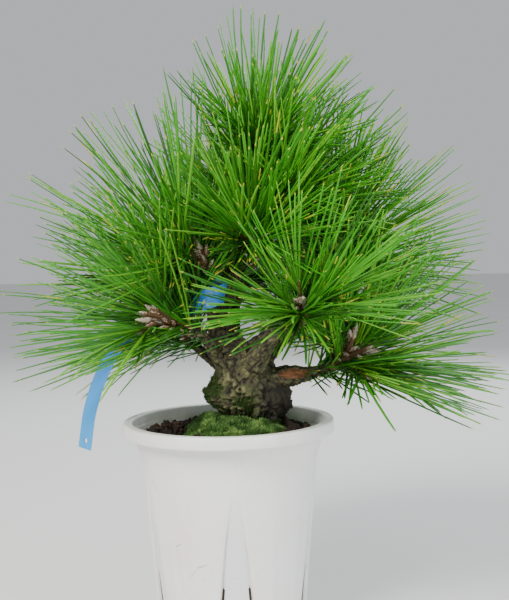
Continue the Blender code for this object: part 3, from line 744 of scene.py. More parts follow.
def put_grain(material, coarse, fine, share, bump, distance=0.5 * MM):
    """Grain on a material: its height goes to a Bump node, and its shade is handed back."""
    tree = material.node_tree
    grain = add_node(tree, "ShaderNodeGroup", node_tree=grain_group())
    grain.inputs["Coarse scale"].default_value = coarse
    grain.inputs["Fine scale"].default_value = fine
    grain.inputs["Fine share"].default_value = share
    relief = add_node(tree, "ShaderNodeBump", Strength=bump, Distance=distance)
    tree.links.new(grain.outputs["Height"], relief.inputs["Height"])
    tree.links.new(relief.outputs["Normal"], tree.nodes["Principled BSDF"].inputs["Normal"])
    return grain.outputs["Shade"]


def colour_ramp(tree, value, stops):
    """A colour ramp fed by a value, with stops of place and colour."""
    ramp = tree.nodes.new("ShaderNodeValToRGB")
    elements = ramp.color_ramp.elements
    while len(elements) < len(stops):
        elements.new(0.5)
    for element, (place, colour) in zip(elements, stops):
        element.position = place
        element.color = (*colour, 1.0)
    tree.links.new(value, ramp.inputs["Fac"])
    return ramp.outputs["Color"]


def mixed_colour(tree, share, first, second):
    """One colour turned to another by a mask; a plain tuple is a colour of its own."""
    mix = add_node(tree, "ShaderNodeMix", data_type="RGBA")
    tree.links.new(share, mix.inputs[0])
    for socket, value in ((mix.inputs[6], first), (mix.inputs[7], second)):
        if isinstance(value, tuple):
            socket.default_value = (*value, 1.0)
        else:
            tree.links.new(value, socket)
    return mix.outputs[2]


def scaled_value(tree, value, low, high, to_low, to_high):
    """A value stretched from one range to another, and held inside it."""
    node = add_node(tree, "ShaderNodeMapRange")
    for label, number in (("From Min", low), ("From Max", high), ("To Min", to_low), ("To Max", to_high)):
        node.inputs[label].default_value = number
    tree.links.new(value, node.inputs["Value"])
    return node.outputs["Result"]


def product(tree, first, second):
    """Two values times each other."""
    node = add_node(tree, "ShaderNodeMath", operation="MULTIPLY")
    tree.links.new(first, node.inputs[0])
    tree.links.new(second, node.inputs[1])
    return node.outputs[0]


def attribute(tree, name):
    """A piece's own number at each point, by its name."""
    return add_node(tree, "ShaderNodeAttribute", attribute_name=name).outputs["Fac"]


def pot_place(angle, height, out=0.0):
    """A point on the pot's outer wall, angle in degrees from +X and height in mm."""
    radius = body_radius(height * MM) + out * MM
    return (
        radius * math.cos(math.radians(angle)),
        radius * math.sin(math.radians(angle)),
        height * MM,
    )


# Marks on the pot: angle and height of each end, width in mm, strength
SCRATCHES = (
    ((-117, 51.4), (-112, 57), 0.22, 0.55),
    ((-112, 57), (-106, 59.2), 0.26, 0.8),
    ((-106, 59.2), (-97.4, 58.1), 0.22, 0.7),
    ((-110, 51.2), (-104, 43.6), 0.14, 0.4),
    ((-148, 104.9), (-142, 100.1), 0.26, 0.65),
    ((-127, 68.6), (-123.5, 39.4), 0.16, 0.45),
    ((-127.5, 68.3), (-124, 70), 0.35, 0.6),
    ((-65.8, 45.9), (-64.7, 66.8), 0.18, 0.5),
    ((-58, 63), (-60, 56), 0.16, 0.4),
    ((-32.7, 72.5), (-35.4, 63.7), 0.26, 0.6),
    ((-85, 117), (-78, 121), 0.14, 0.3),
)


# Painted warm light on the pot: a faint pink pool, with the angle and height of its middle, and its reach
# in metres
WARM_LIGHT_PLACE = (-122, 76)
WARM_LIGHT_REACH = np.array((14.0, 14.0, 26.0)) * MM


def pot_material(settings):
    """Off-white plastic: faint clouds of tint, dirt towards the foot, scuffs and scratches, with painted
    warm light on the left and painted shade in the recesses, along their corners and under the lip.
    """
    material = new_material("white_plastic_scuffed", settings.colour, 0.42, Coat_Weight=0.12)
    tree = material.node_tree
    shader = tree.nodes["Principled BSDF"]
    shader.inputs["Coat Roughness"].default_value = 0.3
    shade = put_grain(material, 28.0, 420.0, 0.25, 0.06)
    place = add_node(tree, "ShaderNodeTexCoord").outputs["Object"]
    parts = add_node(tree, "ShaderNodeSeparateXYZ")
    tree.links.new(place, parts.inputs[0])
    plain = tuple(settings.colour)
    warm = (plain[0], plain[1] * 0.955, plain[2] * 0.91)
    colour = mixed_colour(tree, scaled_value(tree, shade, 0.35, 1.0, 0.0, 0.8), plain, warm)
    # painted warm light: a faint pink pool on the pot's left
    warm_lit_pink = (plain[0], plain[1] * 0.90, plain[2] * 0.90)
    colour = mixed_colour(tree, attribute(tree, "painted_warm_light"), colour, warm_lit_pink)
    # painted shade: the recess's panels tinted cooler and darker
    recess_shade_colour = tuple(v * tint for v, tint in zip(plain, RECESS_SHADE_TINT))
    colour = mixed_colour(tree, attribute(tree, "recess"), colour, recess_shade_colour)
    low = scaled_value(tree, parts.outputs["Z"], 34 * MM, 0.0, 0.0, 0.5)
    speckle = add_node(tree, "ShaderNodeTexNoise", Scale=330.0, Detail=5.0, Roughness=0.7)
    tree.links.new(place, speckle.inputs["Vector"])
    specks = scaled_value(tree, speckle.outputs["Fac"], 0.56, 0.70, 0.0, 1.0)
    dirt = product(tree, specks, scaled_value(tree, low, 0.0, 0.5, 0.10, 0.75))
    colour = mixed_colour(tree, dirt, colour, tuple(settings.stain))
    # real dirt at the foot, on the lip and at the soil line, with painted shade under the lip and along
    # the recess's corners
    colour = mixed_colour(tree, attribute(tree, "grime_and_shade"), colour, (0.20, 0.155, 0.11))
    for start, end, width, strength in SCRATCHES:
        scratch = add_node(tree, "ShaderNodeGroup", node_tree=scratch_group())
        scratch.inputs["Start"].default_value = pot_place(*start)
        scratch.inputs["End"].default_value = pot_place(*end)
        scratch.inputs["Width"].default_value = width * 2 * MM
        scratch.inputs["Strength"].default_value = strength
        colour = mixed_colour(tree, scratch.outputs["Mask"], colour, (0.19, 0.17, 0.15))
    tree.links.new(colour, shader.inputs["Base Color"])
    tree.links.new(scaled_value(tree, shade, 0.0, 1.0, 0.34, 0.52), shader.inputs["Roughness"])
    return material


def soil_material(settings):
    """Damp crumbly earth: dark with redder and paler grains."""
    material = new_material("damp_soil", settings.soil, 0.9)
    tree = material.node_tree
    shade = put_grain(material, 260.0, 1500.0, 0.5, 0.8, 0.6 * MM)
    dark = tuple(v * 0.35 for v in settings.soil)
    pale = tuple(v * 2.1 for v in settings.soil)
    colour = colour_ramp(tree, shade, ((0.0, dark), (0.55, tuple(settings.soil)), (1.0, pale)))
    tree.links.new(colour, tree.nodes["Principled BSDF"].inputs["Base Color"])
    return material


def bark_material(settings):
    """Corky bark: dark between the plates, grey and tan on top, green where moss has taken."""
    material = new_material("corky_bark_relief", settings.ridge, 0.88)
    tree = material.node_tree
    shader = tree.nodes["Principled BSDF"]
    shade = put_grain(material, 210.0, 1300.0, 0.45, 0.85, 0.7 * MM)
    ridge = tuple(settings.ridge)
    fissure = tuple(settings.fissure)
    middle = tuple(0.24 * a + 0.76 * b for a, b in zip(ridge, fissure))
    olive = (ridge[0] * 0.40, ridge[1] * 0.50, ridge[2] * 0.38)
    # the ridge attribute also carries painted shade: on the trunk's shaded right, in the fork's hollow and
    # at the boughs' roots
    height = attribute(tree, "ridge")
    colour = colour_ramp(tree, height, ((0.0, fissure), (0.3, middle), (0.62, olive), (1.0, ridge)))
    grey = tuple(v * 1.5 for v in (ridge[1], ridge[1], ridge[1] * 0.9))
    pale = product(tree, scaled_value(tree, shade, 0.62, 1.0, 0.0, 0.75), height)
    colour = mixed_colour(tree, pale, colour, grey)
    dim = scaled_value(tree, shade, 0.0, 0.45, 0.65, 0.0)
    colour = mixed_colour(tree, dim, colour, fissure)
    patchy = product(tree, attribute(tree, "moss"), scaled_value(tree, shade, 0.25, 0.6, 0.25, 1.0))
    colour = mixed_colour(tree, patchy, colour, (0.055, 0.085, 0.016))
    along_bough = add_node(tree, "ShaderNodeMapping")
    along_bough.inputs["Scale"].default_value = (110.0, 420.0, 1150.0)
    place = add_node(tree, "ShaderNodeTexCoord").outputs["Object"]
    wood = add_node(tree, "ShaderNodeTexNoise", Scale=1.0, Detail=3.0, Roughness=0.6)
    tree.links.new(place, along_bough.inputs["Vector"])
    tree.links.new(along_bough.outputs["Vector"], wood.inputs["Vector"])
    wood_stops = ((0.28, (0.025, 0.012, 0.006)), (0.5, (0.16, 0.062, 0.022)), (0.72, (0.36, 0.17, 0.070)))
    streaky = colour_ramp(tree, wood.outputs["Fac"], wood_stops)
    colour = mixed_colour(tree, attribute(tree, "scar"), colour, streaky)
    tree.links.new(colour, shader.inputs["Base Color"])
    return material


def plain_material(name, colour, roughness=0.6, bump=0.0, **sockets):
    """One plain colour, dealt out by spray or by small piece, with a fine grain where asked."""
    material = new_material(name, tuple(map(float, colour)), roughness, **sockets)
    if bump:
        put_grain(material, 500.0, 1900.0, 0.5, bump, 0.3 * MM)
    return material


# Pot


def body_radius(height):
    """Outer radius of the pot's cone: straight from foot to body top, with a bow out below the lip."""
    flare = FLARE * np.clip((height - FLARE_FOOT) / (BODY_TOP - FLARE_FOOT), 0.0, 1.0) ** 2
    return FOOT_RADIUS + (BODY_RADIUS - FOOT_RADIUS) * height / BODY_TOP + flare


def pot_breaks(height):
    """At each height the angles from a face's middle to its slit, step, face edge and rib."""
    radius = body_radius(np.minimum(height, BODY_TOP))
    below = np.maximum(RECESS_APEX - height, 0.0) / MM
    half_width = (1.12 * np.sqrt(below) + 0.020 * below) * MM
    step = RECESS_STEP / radius
    spread = np.maximum(half_width / radius, 2.4 * step)
    inner = spread - step
    slit = inner - np.minimum(SLIT_WIDTH / radius, inner * 0.5)
    rib = np.full_like(height, math.pi / FACE_COUNT)
    outer = np.full_like(height, FACE_HALF_ANGLE)
    return np.stack((np.zeros_like(height), slit, inner, spread, outer, rib), axis=1)


PANEL_STEPS = (7, 3, 4, 13, 6)  # columns between one break of a half face and the next
SLIT_COLUMNS = (7, 10)


def pot_half_angles(height):
    """Angles of a half face's columns, evenly dealt between the breaks."""
    breaks = pot_breaks(height)
    pieces = [
        breaks[:, k, None] + (breaks[:, k + 1] - breaks[:, k])[:, None] * (np.arange(n) / n)[None, :]
        for k, n in enumerate(PANEL_STEPS)
    ]
    return np.concatenate(pieces + [breaks[:, -1:]], axis=1), breaks


def pot_cut(height, away, breaks):
    """How far the wall lies inside the cone, at an angle away from its face's middle.

    The face is a shallow bow, flat (1 - (angle / half angle)^2), and the recess goes deeper by an
    S-shaped step that grows from nothing at its apex.
    """
    share = np.clip((BODY_TOP - height) / BODY_TOP, 0.0, 1.0)[:, None]
    bow = np.clip(1 - (away / FACE_HALF_ANGLE) ** 2, 0.0, 1.0)
    deep = np.clip((RECESS_APEX - height) / RECESS_APEX, 0.0, 1.0)[:, None] ** 0.75
    wall = 1 - eased(breaks[:, 2, None], breaks[:, 3, None], away)
    rib = 0.35 * MM * np.exp(-(((away - FACE_HALF_ANGLE) / 0.05) ** 2)) * share
    return FACE_FLATNESS * 1.5 * share * bow + RECESS_DEPTH * deep * wall - rib


def pot_sheet(heights, inset=0.0):
    """Rings of the wall at the given heights: the cone's radius less the cut, and the inset."""
    half, breaks = pot_half_angles(heights)
    cut = pot_cut(heights, half, breaks)
    columns = np.concatenate((-half[:, :0:-1], half[:, :-1]), axis=1)
    cuts = np.concatenate((cut[:, :0:-1], cut[:, :-1]), axis=1)
    turns = FRONT_FACE_ANGLE + np.arange(FACE_COUNT) * 2 * math.pi / FACE_COUNT
    angles = (turns[None, :, None] + columns[:, None, :]).reshape(len(heights), -1)
    cuts = np.tile(cuts, (1, FACE_COUNT))
    radius = body_radius(np.minimum(heights, BODY_TOP))[:, None] - cuts - inset
    z = np.broadcast_to(heights[:, None], radius.shape)
    return np.stack((radius * np.cos(angles), radius * np.sin(angles), z), axis=-1), angles


def lip_outline(settings):
    """Radius and height from the body's top, over the hooked lip, and down inside it."""
    skirt_foot = settings.height - LIP_HEIGHT
    groove_top = settings.height - LIP_THICKNESS
    skirt_inner = settings.rim_radius - LIP_THICKNESS
    neck = RIM_INNER_RADIUS + WALL
    turn = np.linspace(0.0, math.pi / 2, 5)
    outside = np.stack((
        settings.rim_radius - LIP_ROUNDING + LIP_ROUNDING * np.cos(turn),
        settings.height - LIP_ROUNDING + LIP_ROUNDING * np.sin(turn),
    ), axis=1)
    inside = np.stack((
        RIM_INNER_RADIUS + LIP_ROUNDING - LIP_ROUNDING * np.sin(turn),
        settings.height - LIP_ROUNDING + LIP_ROUNDING * np.cos(turn),
    ), axis=1)
    inner_edge = RIM_INNER_RADIUS - 1.4 * MM
    inner_wall = BODY_RADIUS + FLARE - WALL
    half = LIP_THICKNESS / 2
    foot_turn = np.linspace(math.pi, 2 * math.pi, 5)
    foot = np.stack((
        skirt_inner + half + half * np.cos(foot_turn),
        skirt_foot + half + half * np.sin(foot_turn),
    ), axis=1)
    return np.concatenate((
        ((BODY_RADIUS + FLARE + 0.4 * MM, BODY_TOP + 1 * MM), (neck - 1.6 * MM, SHOULDER_TOP - 1.8 * MM)),
        ((neck - 0.4 * MM, SHOULDER_TOP), (neck, groove_top - 0.8 * MM), (neck + 0.5 * MM, groove_top)),
        ((skirt_inner - 0.4 * MM, groove_top), (skirt_inner, groove_top - 0.5 * MM)),
        foot,
        outside,
        inside,
        ((inner_edge + 1.3 * MM, SHOULDER_TOP + 1.4 * MM), (inner_edge + 0.3 * MM, SHOULDER_TOP + 1 * MM)),
        ((inner_edge, SHOULDER_TOP), (inner_wall + 0.2 * MM, SHOULDER_TOP - 1.6 * MM)),
    ))


def drilled(rings, first_row, row_count, first_column, column_count):
    """A block of a grid drawn to a circle, so that leaving the block out makes a round hole."""
    rows = slice(first_row, first_row + row_count + 1)
    columns = np.arange(first_column, first_column + column_count + 1) % rings.shape[1]
    block = rings[rows][:, columns]
    centre = block.reshape(-1, 3).mean(axis=0)
    outward = unit(centre * (1, 1, 0))
    sideways = np.cross(UP, outward)
    a = 2 * np.arange(row_count + 1)[:, None] / row_count - 1
    b = 2 * np.arange(column_count + 1)[None, :] / column_count - 1
    far = np.maximum(np.abs(a), np.abs(b)) / np.maximum(np.hypot(a, b), 1e-9)
    round_block = (
        centre
        + (a * far * DRAIN_RADIUS)[..., None] * outward
        + (b * far * DRAIN_RADIUS)[..., None] * -sideways
    )
    round_block[..., 2] = block[..., 2]
    rings[first_row:first_row + row_count + 1, columns] = round_block


def pierced(quads, columns, total_rows, blocks):
    """Quads of a ring grid less some blocks, with walls between the outer and the inner sheet.

    Row r of the outer sheet lies over row total_rows - 1 - r of the inner one.
    """
    keep = np.ones(len(quads), dtype=bool)
    walls = []
    for first_row, row_count, first_column, column_count in blocks:
        r = np.arange(first_row, first_row + row_count)
        c = np.arange(first_column, first_column + column_count) % columns
        keep[(r[:, None] * columns + c[None, :]).ravel()] = False
        keep[((total_rows - 2 - r)[:, None] * columns + c[None, :]).ravel()] = False
        around_rows, around_columns = block_edge(first_row, row_count, first_column, column_count)
        outer = around_rows * columns + around_columns % columns
        inner = (total_rows - 1 - around_rows) * columns + around_columns % columns
        walls.append(np.stack((np.roll(outer, -1), outer, inner, np.roll(inner, -1)), axis=1))
    return np.concatenate([quads[keep]] + walls)


def make_pot(settings):
    """The pot: wall rings outside and inside at the same heights, joined over the lip and below."""
    below_slits = np.array((1.1, 2.4, 3.6)) * MM
    at_slits = np.linspace(SLIT_FOOT, SLIT_TOP, 14)
    to_apex = np.linspace(SLIT_TOP, RECESS_APEX, 34)[1:]
    to_top = np.linspace(RECESS_APEX, BODY_TOP, 12)[1:]
    heights = np.concatenate((below_slits, at_slits, to_apex, to_top))
    outer, angles = pot_sheet(heights)
    inner, _ = pot_sheet(heights, WALL)
    inner[:, :, 2] = np.maximum(inner[:, :, 2], FLOOR)
    lip = lip_outline(settings)
    top_angles = angles[-1]
    lip_rings = np.stack((
        lip[:, :1] * np.cos(top_angles),
        lip[:, :1] * np.sin(top_angles),
        np.broadcast_to(lip[:, 1:], (len(lip), len(top_angles))),
    ), axis=-1)
    drain_steps = 6
    base_shares = np.concatenate((
        (0.04, 0.14, 0.36),
        np.linspace(
            (DRAIN_RING_RADIUS - DRAIN_RADIUS) / FOOT_RADIUS,
            (DRAIN_RING_RADIUS + DRAIN_RADIUS) / FOOT_RADIUS,
            drain_steps + 1,
        ),
        (0.78, 0.92, 0.985),
    ))
    foot_ring = outer[0] * (0.985, 0.985, 0.0)
    under = foot_ring[None] * base_shares[:, None, None] / 0.985
    over = under + UP * FLOOR
    foot_fillet = outer[:1] * (0.994, 0.994, 0.25)
    outside = np.concatenate((under, foot_fillet, outer))
    inside = np.concatenate((over, inner[:1] * (0.994, 0.994, 1.0), inner))
    columns = outside.shape[1]
    first_drain_row = 3
    half_columns = sum(PANEL_STEPS)
    rib_columns = [face * 2 * half_columns for face in range(FACE_COUNT)]
    drain_half = 5
    blocks = []
    for column in rib_columns:
        first_column = (column - drain_half) % columns
        drilled(outside, first_drain_row, drain_steps, first_column, 2 * drain_half)
        drilled(inside, first_drain_row, drain_steps, first_column, 2 * drain_half)
        blocks.append((first_drain_row, drain_steps, first_column, 2 * drain_half))
    slit_row = len(under) + 1 + len(below_slits)
    for face in range(FACE_COUNT):
        middle = face * 2 * half_columns + half_columns
        near, far = SLIT_COLUMNS
        blocks.append((slit_row, len(at_slits) - 1, middle + near, far - near))
        blocks.append((slit_row, len(at_slits) - 1, middle - far, far - near))
    rings = np.concatenate((outside, lip_rings, inside[::-1]))
    rows = len(rings)
    quads = pierced(grid_quads(rows, columns), columns, rows, blocks)
    points = np.concatenate((rings.reshape(-1, 3), ((0.0, 0.0, 0.0), (0.0, 0.0, FLOOR))))
    # painted warm light: a soft pink pool round one place on the left, broken by noise
    place = np.array(pot_place(*WARM_LIGHT_PLACE))
    painted_warm_light = np.exp(-((np.linalg.norm((points - place) / WARM_LIGHT_REACH, axis=1)) ** 2))
    corners, recess = pot_recess_masks(points)
    values = {
        # painted shade along the recess's corners and under the lip, with real dirt
        "grime_and_shade": np.maximum(pot_grime_and_shade(points), corners),
        # painted shade over the recess's panels
        "recess": recess,
        "painted_warm_light": painted_warm_light * (0.6 + 0.4 * soft_noise(points * 150, 77)),
    }
    return (points, quads, end_fans(rows, columns)), values


def pot_recess_masks(points):
    """Painted shade lines along the recess's two corners, a thin bell over the angle, and the recess
    itself, a mask for its painted shade tint.
    """
    z = np.minimum(points[:, 2], BODY_TOP)
    turn = 2 * math.pi / FACE_COUNT
    angle = np.arctan2(points[:, 1], points[:, 0]) - FRONT_FACE_ANGLE
    away = np.abs((angle + turn / 2) % turn - turn / 2)
    corner = pot_breaks(z)[:, 2]
    bell = np.exp(-(((away - corner) * body_radius(z) / (0.45 * MM)) ** 2))
    below_apex = eased(RECESS_APEX - 2 * MM, RECESS_APEX - 34 * MM, z)
    worn = 0.6 + 0.4 * soft_noise(points * 120, 73)
    return 0.42 * bell * below_apex * worn, (away < corner) * below_apex


def pot_grime_and_shade(points):
    """Dirt where it gathers on the lip, along the soil line inside and at the foot, and a faint painted
    shade under the lip.
    """
    radius = np.hypot(points[:, 0], points[:, 1])
    z = points[:, 2]
    patch = 0.5 + 0.5 * rough_noise(points * 95, 71)
    # painted shade: a faint dark band under the lip
    under_lip_shade = np.exp(-(((z - 126.5 * MM) / (2.6 * MM)) ** 2)) * (radius > BODY_RADIUS - 1 * MM)
    soil_line = eased(134 * MM, 128 * MM, z) * (radius < RIM_INNER_RADIUS + 0.4 * MM) * (z > 127.6 * MM)
    smudge = ((points[:, 0] - 32 * MM) / (4.5 * MM)) ** 2 + ((z - 132.5 * MM) / (2.6 * MM)) ** 2
    on_lip = np.exp(-smudge) * (points[:, 1] < 0) * (radius > BODY_RADIUS + 6 * MM)
    foot = eased(9 * MM, 0.0, z) * 0.5
    return np.clip(patch * (0.06 * under_lip_shade + 0.8 * soil_line + 0.5 * on_lip + foot), 0, 1)


# Soil and moss


def moss_reach(angle):
    """How far the moss spreads from the trunk's foot: wider one way, with a rippled edge."""
    lean = (1 + np.cos(angle - MOSS_LEAN_ANGLE)) / 2
    ripple = 1 + 0.10 * np.sin(5 * angle + 0.8) + 0.06 * np.sin(9 * angle)
    return (MOSS_SIDE_REACH + (MOSS_REACH - MOSS_SIDE_REACH) * lean) * ripple


def crumb_shape(rows, columns, seed):
    """A rough lump: rings of points between two poles, each pushed in or out by rough noise."""
    tilt = np.linspace(0, math.pi, rows + 2)[1:-1, None]
    turn = np.linspace(0, 2 * math.pi, columns, endpoint=False)[None, :]
    ball = np.stack(np.broadcast_arrays(
        np.sin(tilt) * np.cos(turn), np.sin(tilt) * np.sin(turn), -np.cos(tilt)
    ), axis=-1)
    rings = ball * (0.9 + 0.42 * rough_noise(ball * 1.7 + 3.1 * seed, seed))[..., None]
    points, quads, triangles = tube_mesh(rings)
    points[-2:] = ((0, 0, -0.85), (0, 0, 0.85))
    return points, quads, triangles


def random_turns(dice, count):
    """Matrices that turn a shape any way."""
    return turned_up(unit(dice.normal(size=(count, 3))), dice.uniform(0, 2 * math.pi, count))


def soil_heap(places):
    """Height of the heaped soil: soft lumps over the whole top, and two higher banks of bells."""
    heap = np.clip(soft_noise(places * (60, 60, 0), 5), 0, 1) * 2.6 * MM
    for x, y, reach, height in SOIL_BANKS:
        away = np.hypot(places[:, 0] - x * MM, places[:, 1] - y * MM) / (reach * MM)
        heap += height * MM * np.exp(-(away**2))
    return heap


def make_crumbs(settings):
    """Lumps of soil over the whole top: many small ones, and fewer large ones in the banks."""
    dice = np.random.default_rng(SEED)
    parts = []
    slots = []
    for kind in range(12):
        is_large = kind < 6
        count = settings.crumbs // (75 if is_large else 7)
        radius = (SOIL_RADIUS - (2 * MM if is_large else 0)) * np.sqrt(dice.uniform(0, 1, count))
        angle = dice.uniform(0, 2 * math.pi, count)
        size = dice.uniform(1.8, 3.6, count) * MM if is_large else dice.uniform(0.5, 1.7, count) * MM
        places = np.stack((radius * np.cos(angle), radius * np.sin(angle), SOIL_TOP + size * 0.2), axis=1)
        places[:, 2] += soil_heap(places) * dice.uniform(0.1, 1.0, count)
        stretch = dice.uniform(0.6, 1.25, (count, 3)) * size[:, None]
        shape = crumb_shape(10, 14, kind) if is_large else crumb_shape(4, 8, kind)
        part = scattered(shape, places, random_turns(dice, count), stretch)
        parts.append(part)
        colour = dice.choice(4, count, p=(0.56, 0.34, 0.08, 0.02))
        slots.append((np.repeat(colour, len(part[1]) // count), np.repeat(colour, len(part[2]) // count)))
    face_slots = np.concatenate([quad for quad, _ in slots] + [tri for _, tri in slots])
    return joined(parts), face_slots


def moss_height_at(angle, out, settings):
    """Height of the mound at an angle and a share of the way from the trunk to its edge."""
    lean = (1 + np.cos(angle - MOSS_LEAN_ANGLE)) / 2
    top = settings.moss_height * (0.42 + 0.58 * lean)
    rise = np.interp(out, (0.0, 0.2, 0.5, 0.78, 1.0), (0.8, 1.0, 0.88, 0.58, 0.04))
    return top * rise


def moss_points(angle, out, settings):
    """Points on the mound: out from the trunk's foot by the reach, up by the height and lumps."""
    centre = np.array(TRUNK_LINE[0][:2]) * MM
    radius = MOSS_INNER_RADIUS + moss_reach(angle) * out
    x = centre[0] + radius * np.cos(angle)
    y = centre[1] + radius * np.sin(angle)
    flat = np.stack((x, y, 0 * x), axis=-1)
    lumps = 2.3 * MM * rough_noise(flat * 190, 31) * np.sin(np.clip(out, 0, 1) * math.pi) ** 0.5
    return np.stack((x, y, SOIL_TOP + moss_height_at(angle, out, settings) + lumps), axis=-1)


def make_moss_mound(settings):
    """The mound's skin from the trunk out to the soil, closed below by a flat ring."""
    columns = MOSS_GRID[1]
    angle = np.broadcast_to(np.linspace(0, 2 * math.pi, columns, endpoint=False), MOSS_GRID)
    out = np.broadcast_to(np.linspace(0, 1, MOSS_GRID[0])[:, None], MOSS_GRID)
    skin = moss_points(angle, out, settings)
    edge = skin[-1] * (1, 1, 0) + UP * (SOIL_TOP - 0.5 * MM)
    inner = skin[0] * (1, 1, 0) + UP * (SOIL_TOP - 0.5 * MM)
    rings = np.concatenate((inner[None], skin, edge[None], inner[None]))
    quads = grid_quads(len(rings), columns)
    own_points = (len(rings) - 1) * columns
    quads = np.where(quads >= own_points, quads - own_points, quads)
    return rings[:-1].reshape(-1, 3), quads[:, ::-1], np.empty((0, 3), dtype=int)


def tuft_shape():
    """Five pointed leaves from one foot, each a closed sliver of four faces that leans outwards."""
    turn = np.arange(5) * 2 * math.pi / 5 + 0.3 * (np.arange(5) % 2)
    heading = np.stack((np.cos(turn), np.sin(turn), 0 * turn), axis=1)
    across = np.stack((-np.sin(turn), np.cos(turn), 0 * turn), axis=1)
    leaves = np.stack((
        heading * 0.02 - across * 0.20,
        heading * 0.02 + across * 0.20,
        heading * 0.30 + UP * 0.10,
        heading * 0.72 + UP * np.array((1.0, 0.8, 1.05, 0.85, 0.95))[:, None],
    ), axis=1)
    faces = np.array(((0, 1, 2), (0, 3, 1), (1, 3, 2), (2, 3, 0)))
    triangles = (faces[None] + 4 * np.arange(5)[:, None, None]).reshape(-1, 3)
    return leaves.reshape(-1, 3), np.empty((0, 4), dtype=int), triangles


def make_moss_tufts(settings, bark_places, bark_normals):
    """Tufts over the mound, denser near its middle, and on the mossy bark of the trunk."""
    dice = np.random.default_rng(SEED + 1)
    count = settings.tufts
    angle = dice.uniform(0, 2 * math.pi, count * 2)
    lean = (1 + np.cos(angle - MOSS_LEAN_ANGLE)) / 2
    angle = angle[dice.uniform(0, 1, count * 2) < 0.3 + 0.7 * lean][:count]
    out = dice.uniform(0, 1, len(angle)) ** 0.7 * 1.04
    places = moss_points(angle, out, settings)
    normals = unit(np.stack((
        np.cos(angle) * (0.2 + 0.8 * out**2), np.sin(angle) * (0.2 + 0.8 * out**2), np.ones(len(angle))
    ), axis=1) + dice.normal(scale=0.28, size=(len(angle), 3)))
    picked = dice.choice(len(bark_places), min(2400, len(bark_places)), replace=False)
    places = np.concatenate((places, bark_places[picked]))
    tilted = unit(bark_normals[picked] + 0.5 * UP + dice.normal(scale=0.3, size=(len(picked), 3)))
    normals = np.concatenate((normals, tilted))
    sizes = dice.uniform(0.8, 2.9, len(places)) * MM
    sizes[len(angle):] *= 0.6
    tufts = scattered(tuft_shape(), places, turned_up(normals, dice.uniform(0, 6.3, len(places))), sizes)
    patch = soft_noise(places * 170, 3) + dice.normal(scale=0.45, size=len(places))
    colour = np.digitize(patch, (-0.35, 0.25, 0.85))
    colour[len(angle):] = dice.choice((0, 4), len(picked))
    return tufts, np.repeat(colour, len(tufts[2]) // len(places))


# Bark


def limb_line(name, count=160):
    """Fine samples of a limb's middle and its radii, from the trunk's middle out."""
    if name == "trunk":
        rows = spline(TRUNK_LINE, count)
        return rows[:, :3] * MM, rows[:, 3] * MM
    points, base_radius, tip_radius = {**BOUGHS, **SPURS}[name]
    line = spline(np.array(points) * MM, count)
    return line, np.linspace(base_radius, tip_radius, count) * MM


def bark_rings(points, radii, sides, plate, relief, seed, standing_out=None):
    """Rings of bark round a limb: radius (1 + lobes + relief), and how high each place stands.

    Plates lie between fissures of a cell pattern stretched along the limb; each plate has its own
    height, and rough noise breaks its top.
    """
    outward, angles = ring_directions(points, sides)
    along = np.concatenate(([0.0], np.cumsum(np.linalg.norm(np.diff(points, axis=0), axis=1))))
    wrap = max(4, round(2 * math.pi * float(radii.mean()) / plate))
    u = np.broadcast_to(angles / (2 * math.pi) * wrap, (len(points), sides))
    v = np.broadcast_to((along / (plate * 1.9))[:, None], u.shape)
    base = points[:, None, :] + radii[:, None, None] * outward
    warp = 1 / plate
    bent_u = u + 0.62 * rough_noise(base * warp, seed + 11)
    bent_v = v + 0.62 * rough_noise(base * warp + 40, seed + 12)
    gap, own = plates(bent_u, bent_v, wrap, seed)
    fine_gap, fine_own = plates(bent_u * 2, bent_v * 2.4, wrap * 2, seed + 5)
    plateau = eased(0.0, 0.5, gap)
    cracks = eased(0.0, 0.45, fine_gap)
    knobs = rough_noise(base * 380, seed + 21, 4)
    streaks = soft_noise(base * (300, 300, 80), seed + 25)
    layers = 0.20 + 0.25 * own + 0.30 * cracks + 0.18 * fine_own
    ridge = np.clip(plateau * layers + 0.28 * knobs + 0.10 * streaks + 0.08, 0, 1)
    shape = np.ones_like(u)
    if standing_out is not None:
        shape = shape + standing_out[:, None] * np.cos(2 * angles)[None, :]
        shape = shape + 0.05 * np.cos(5 * angles + 0.7)[None, :]
    shape = shape + relief * (ridge - ridge.mean()) + 0.05 * soft_noise(base * 95, seed + 31)
    return points[:, None, :] + radii[:, None, None] * outward * shape[..., None], ridge, outward


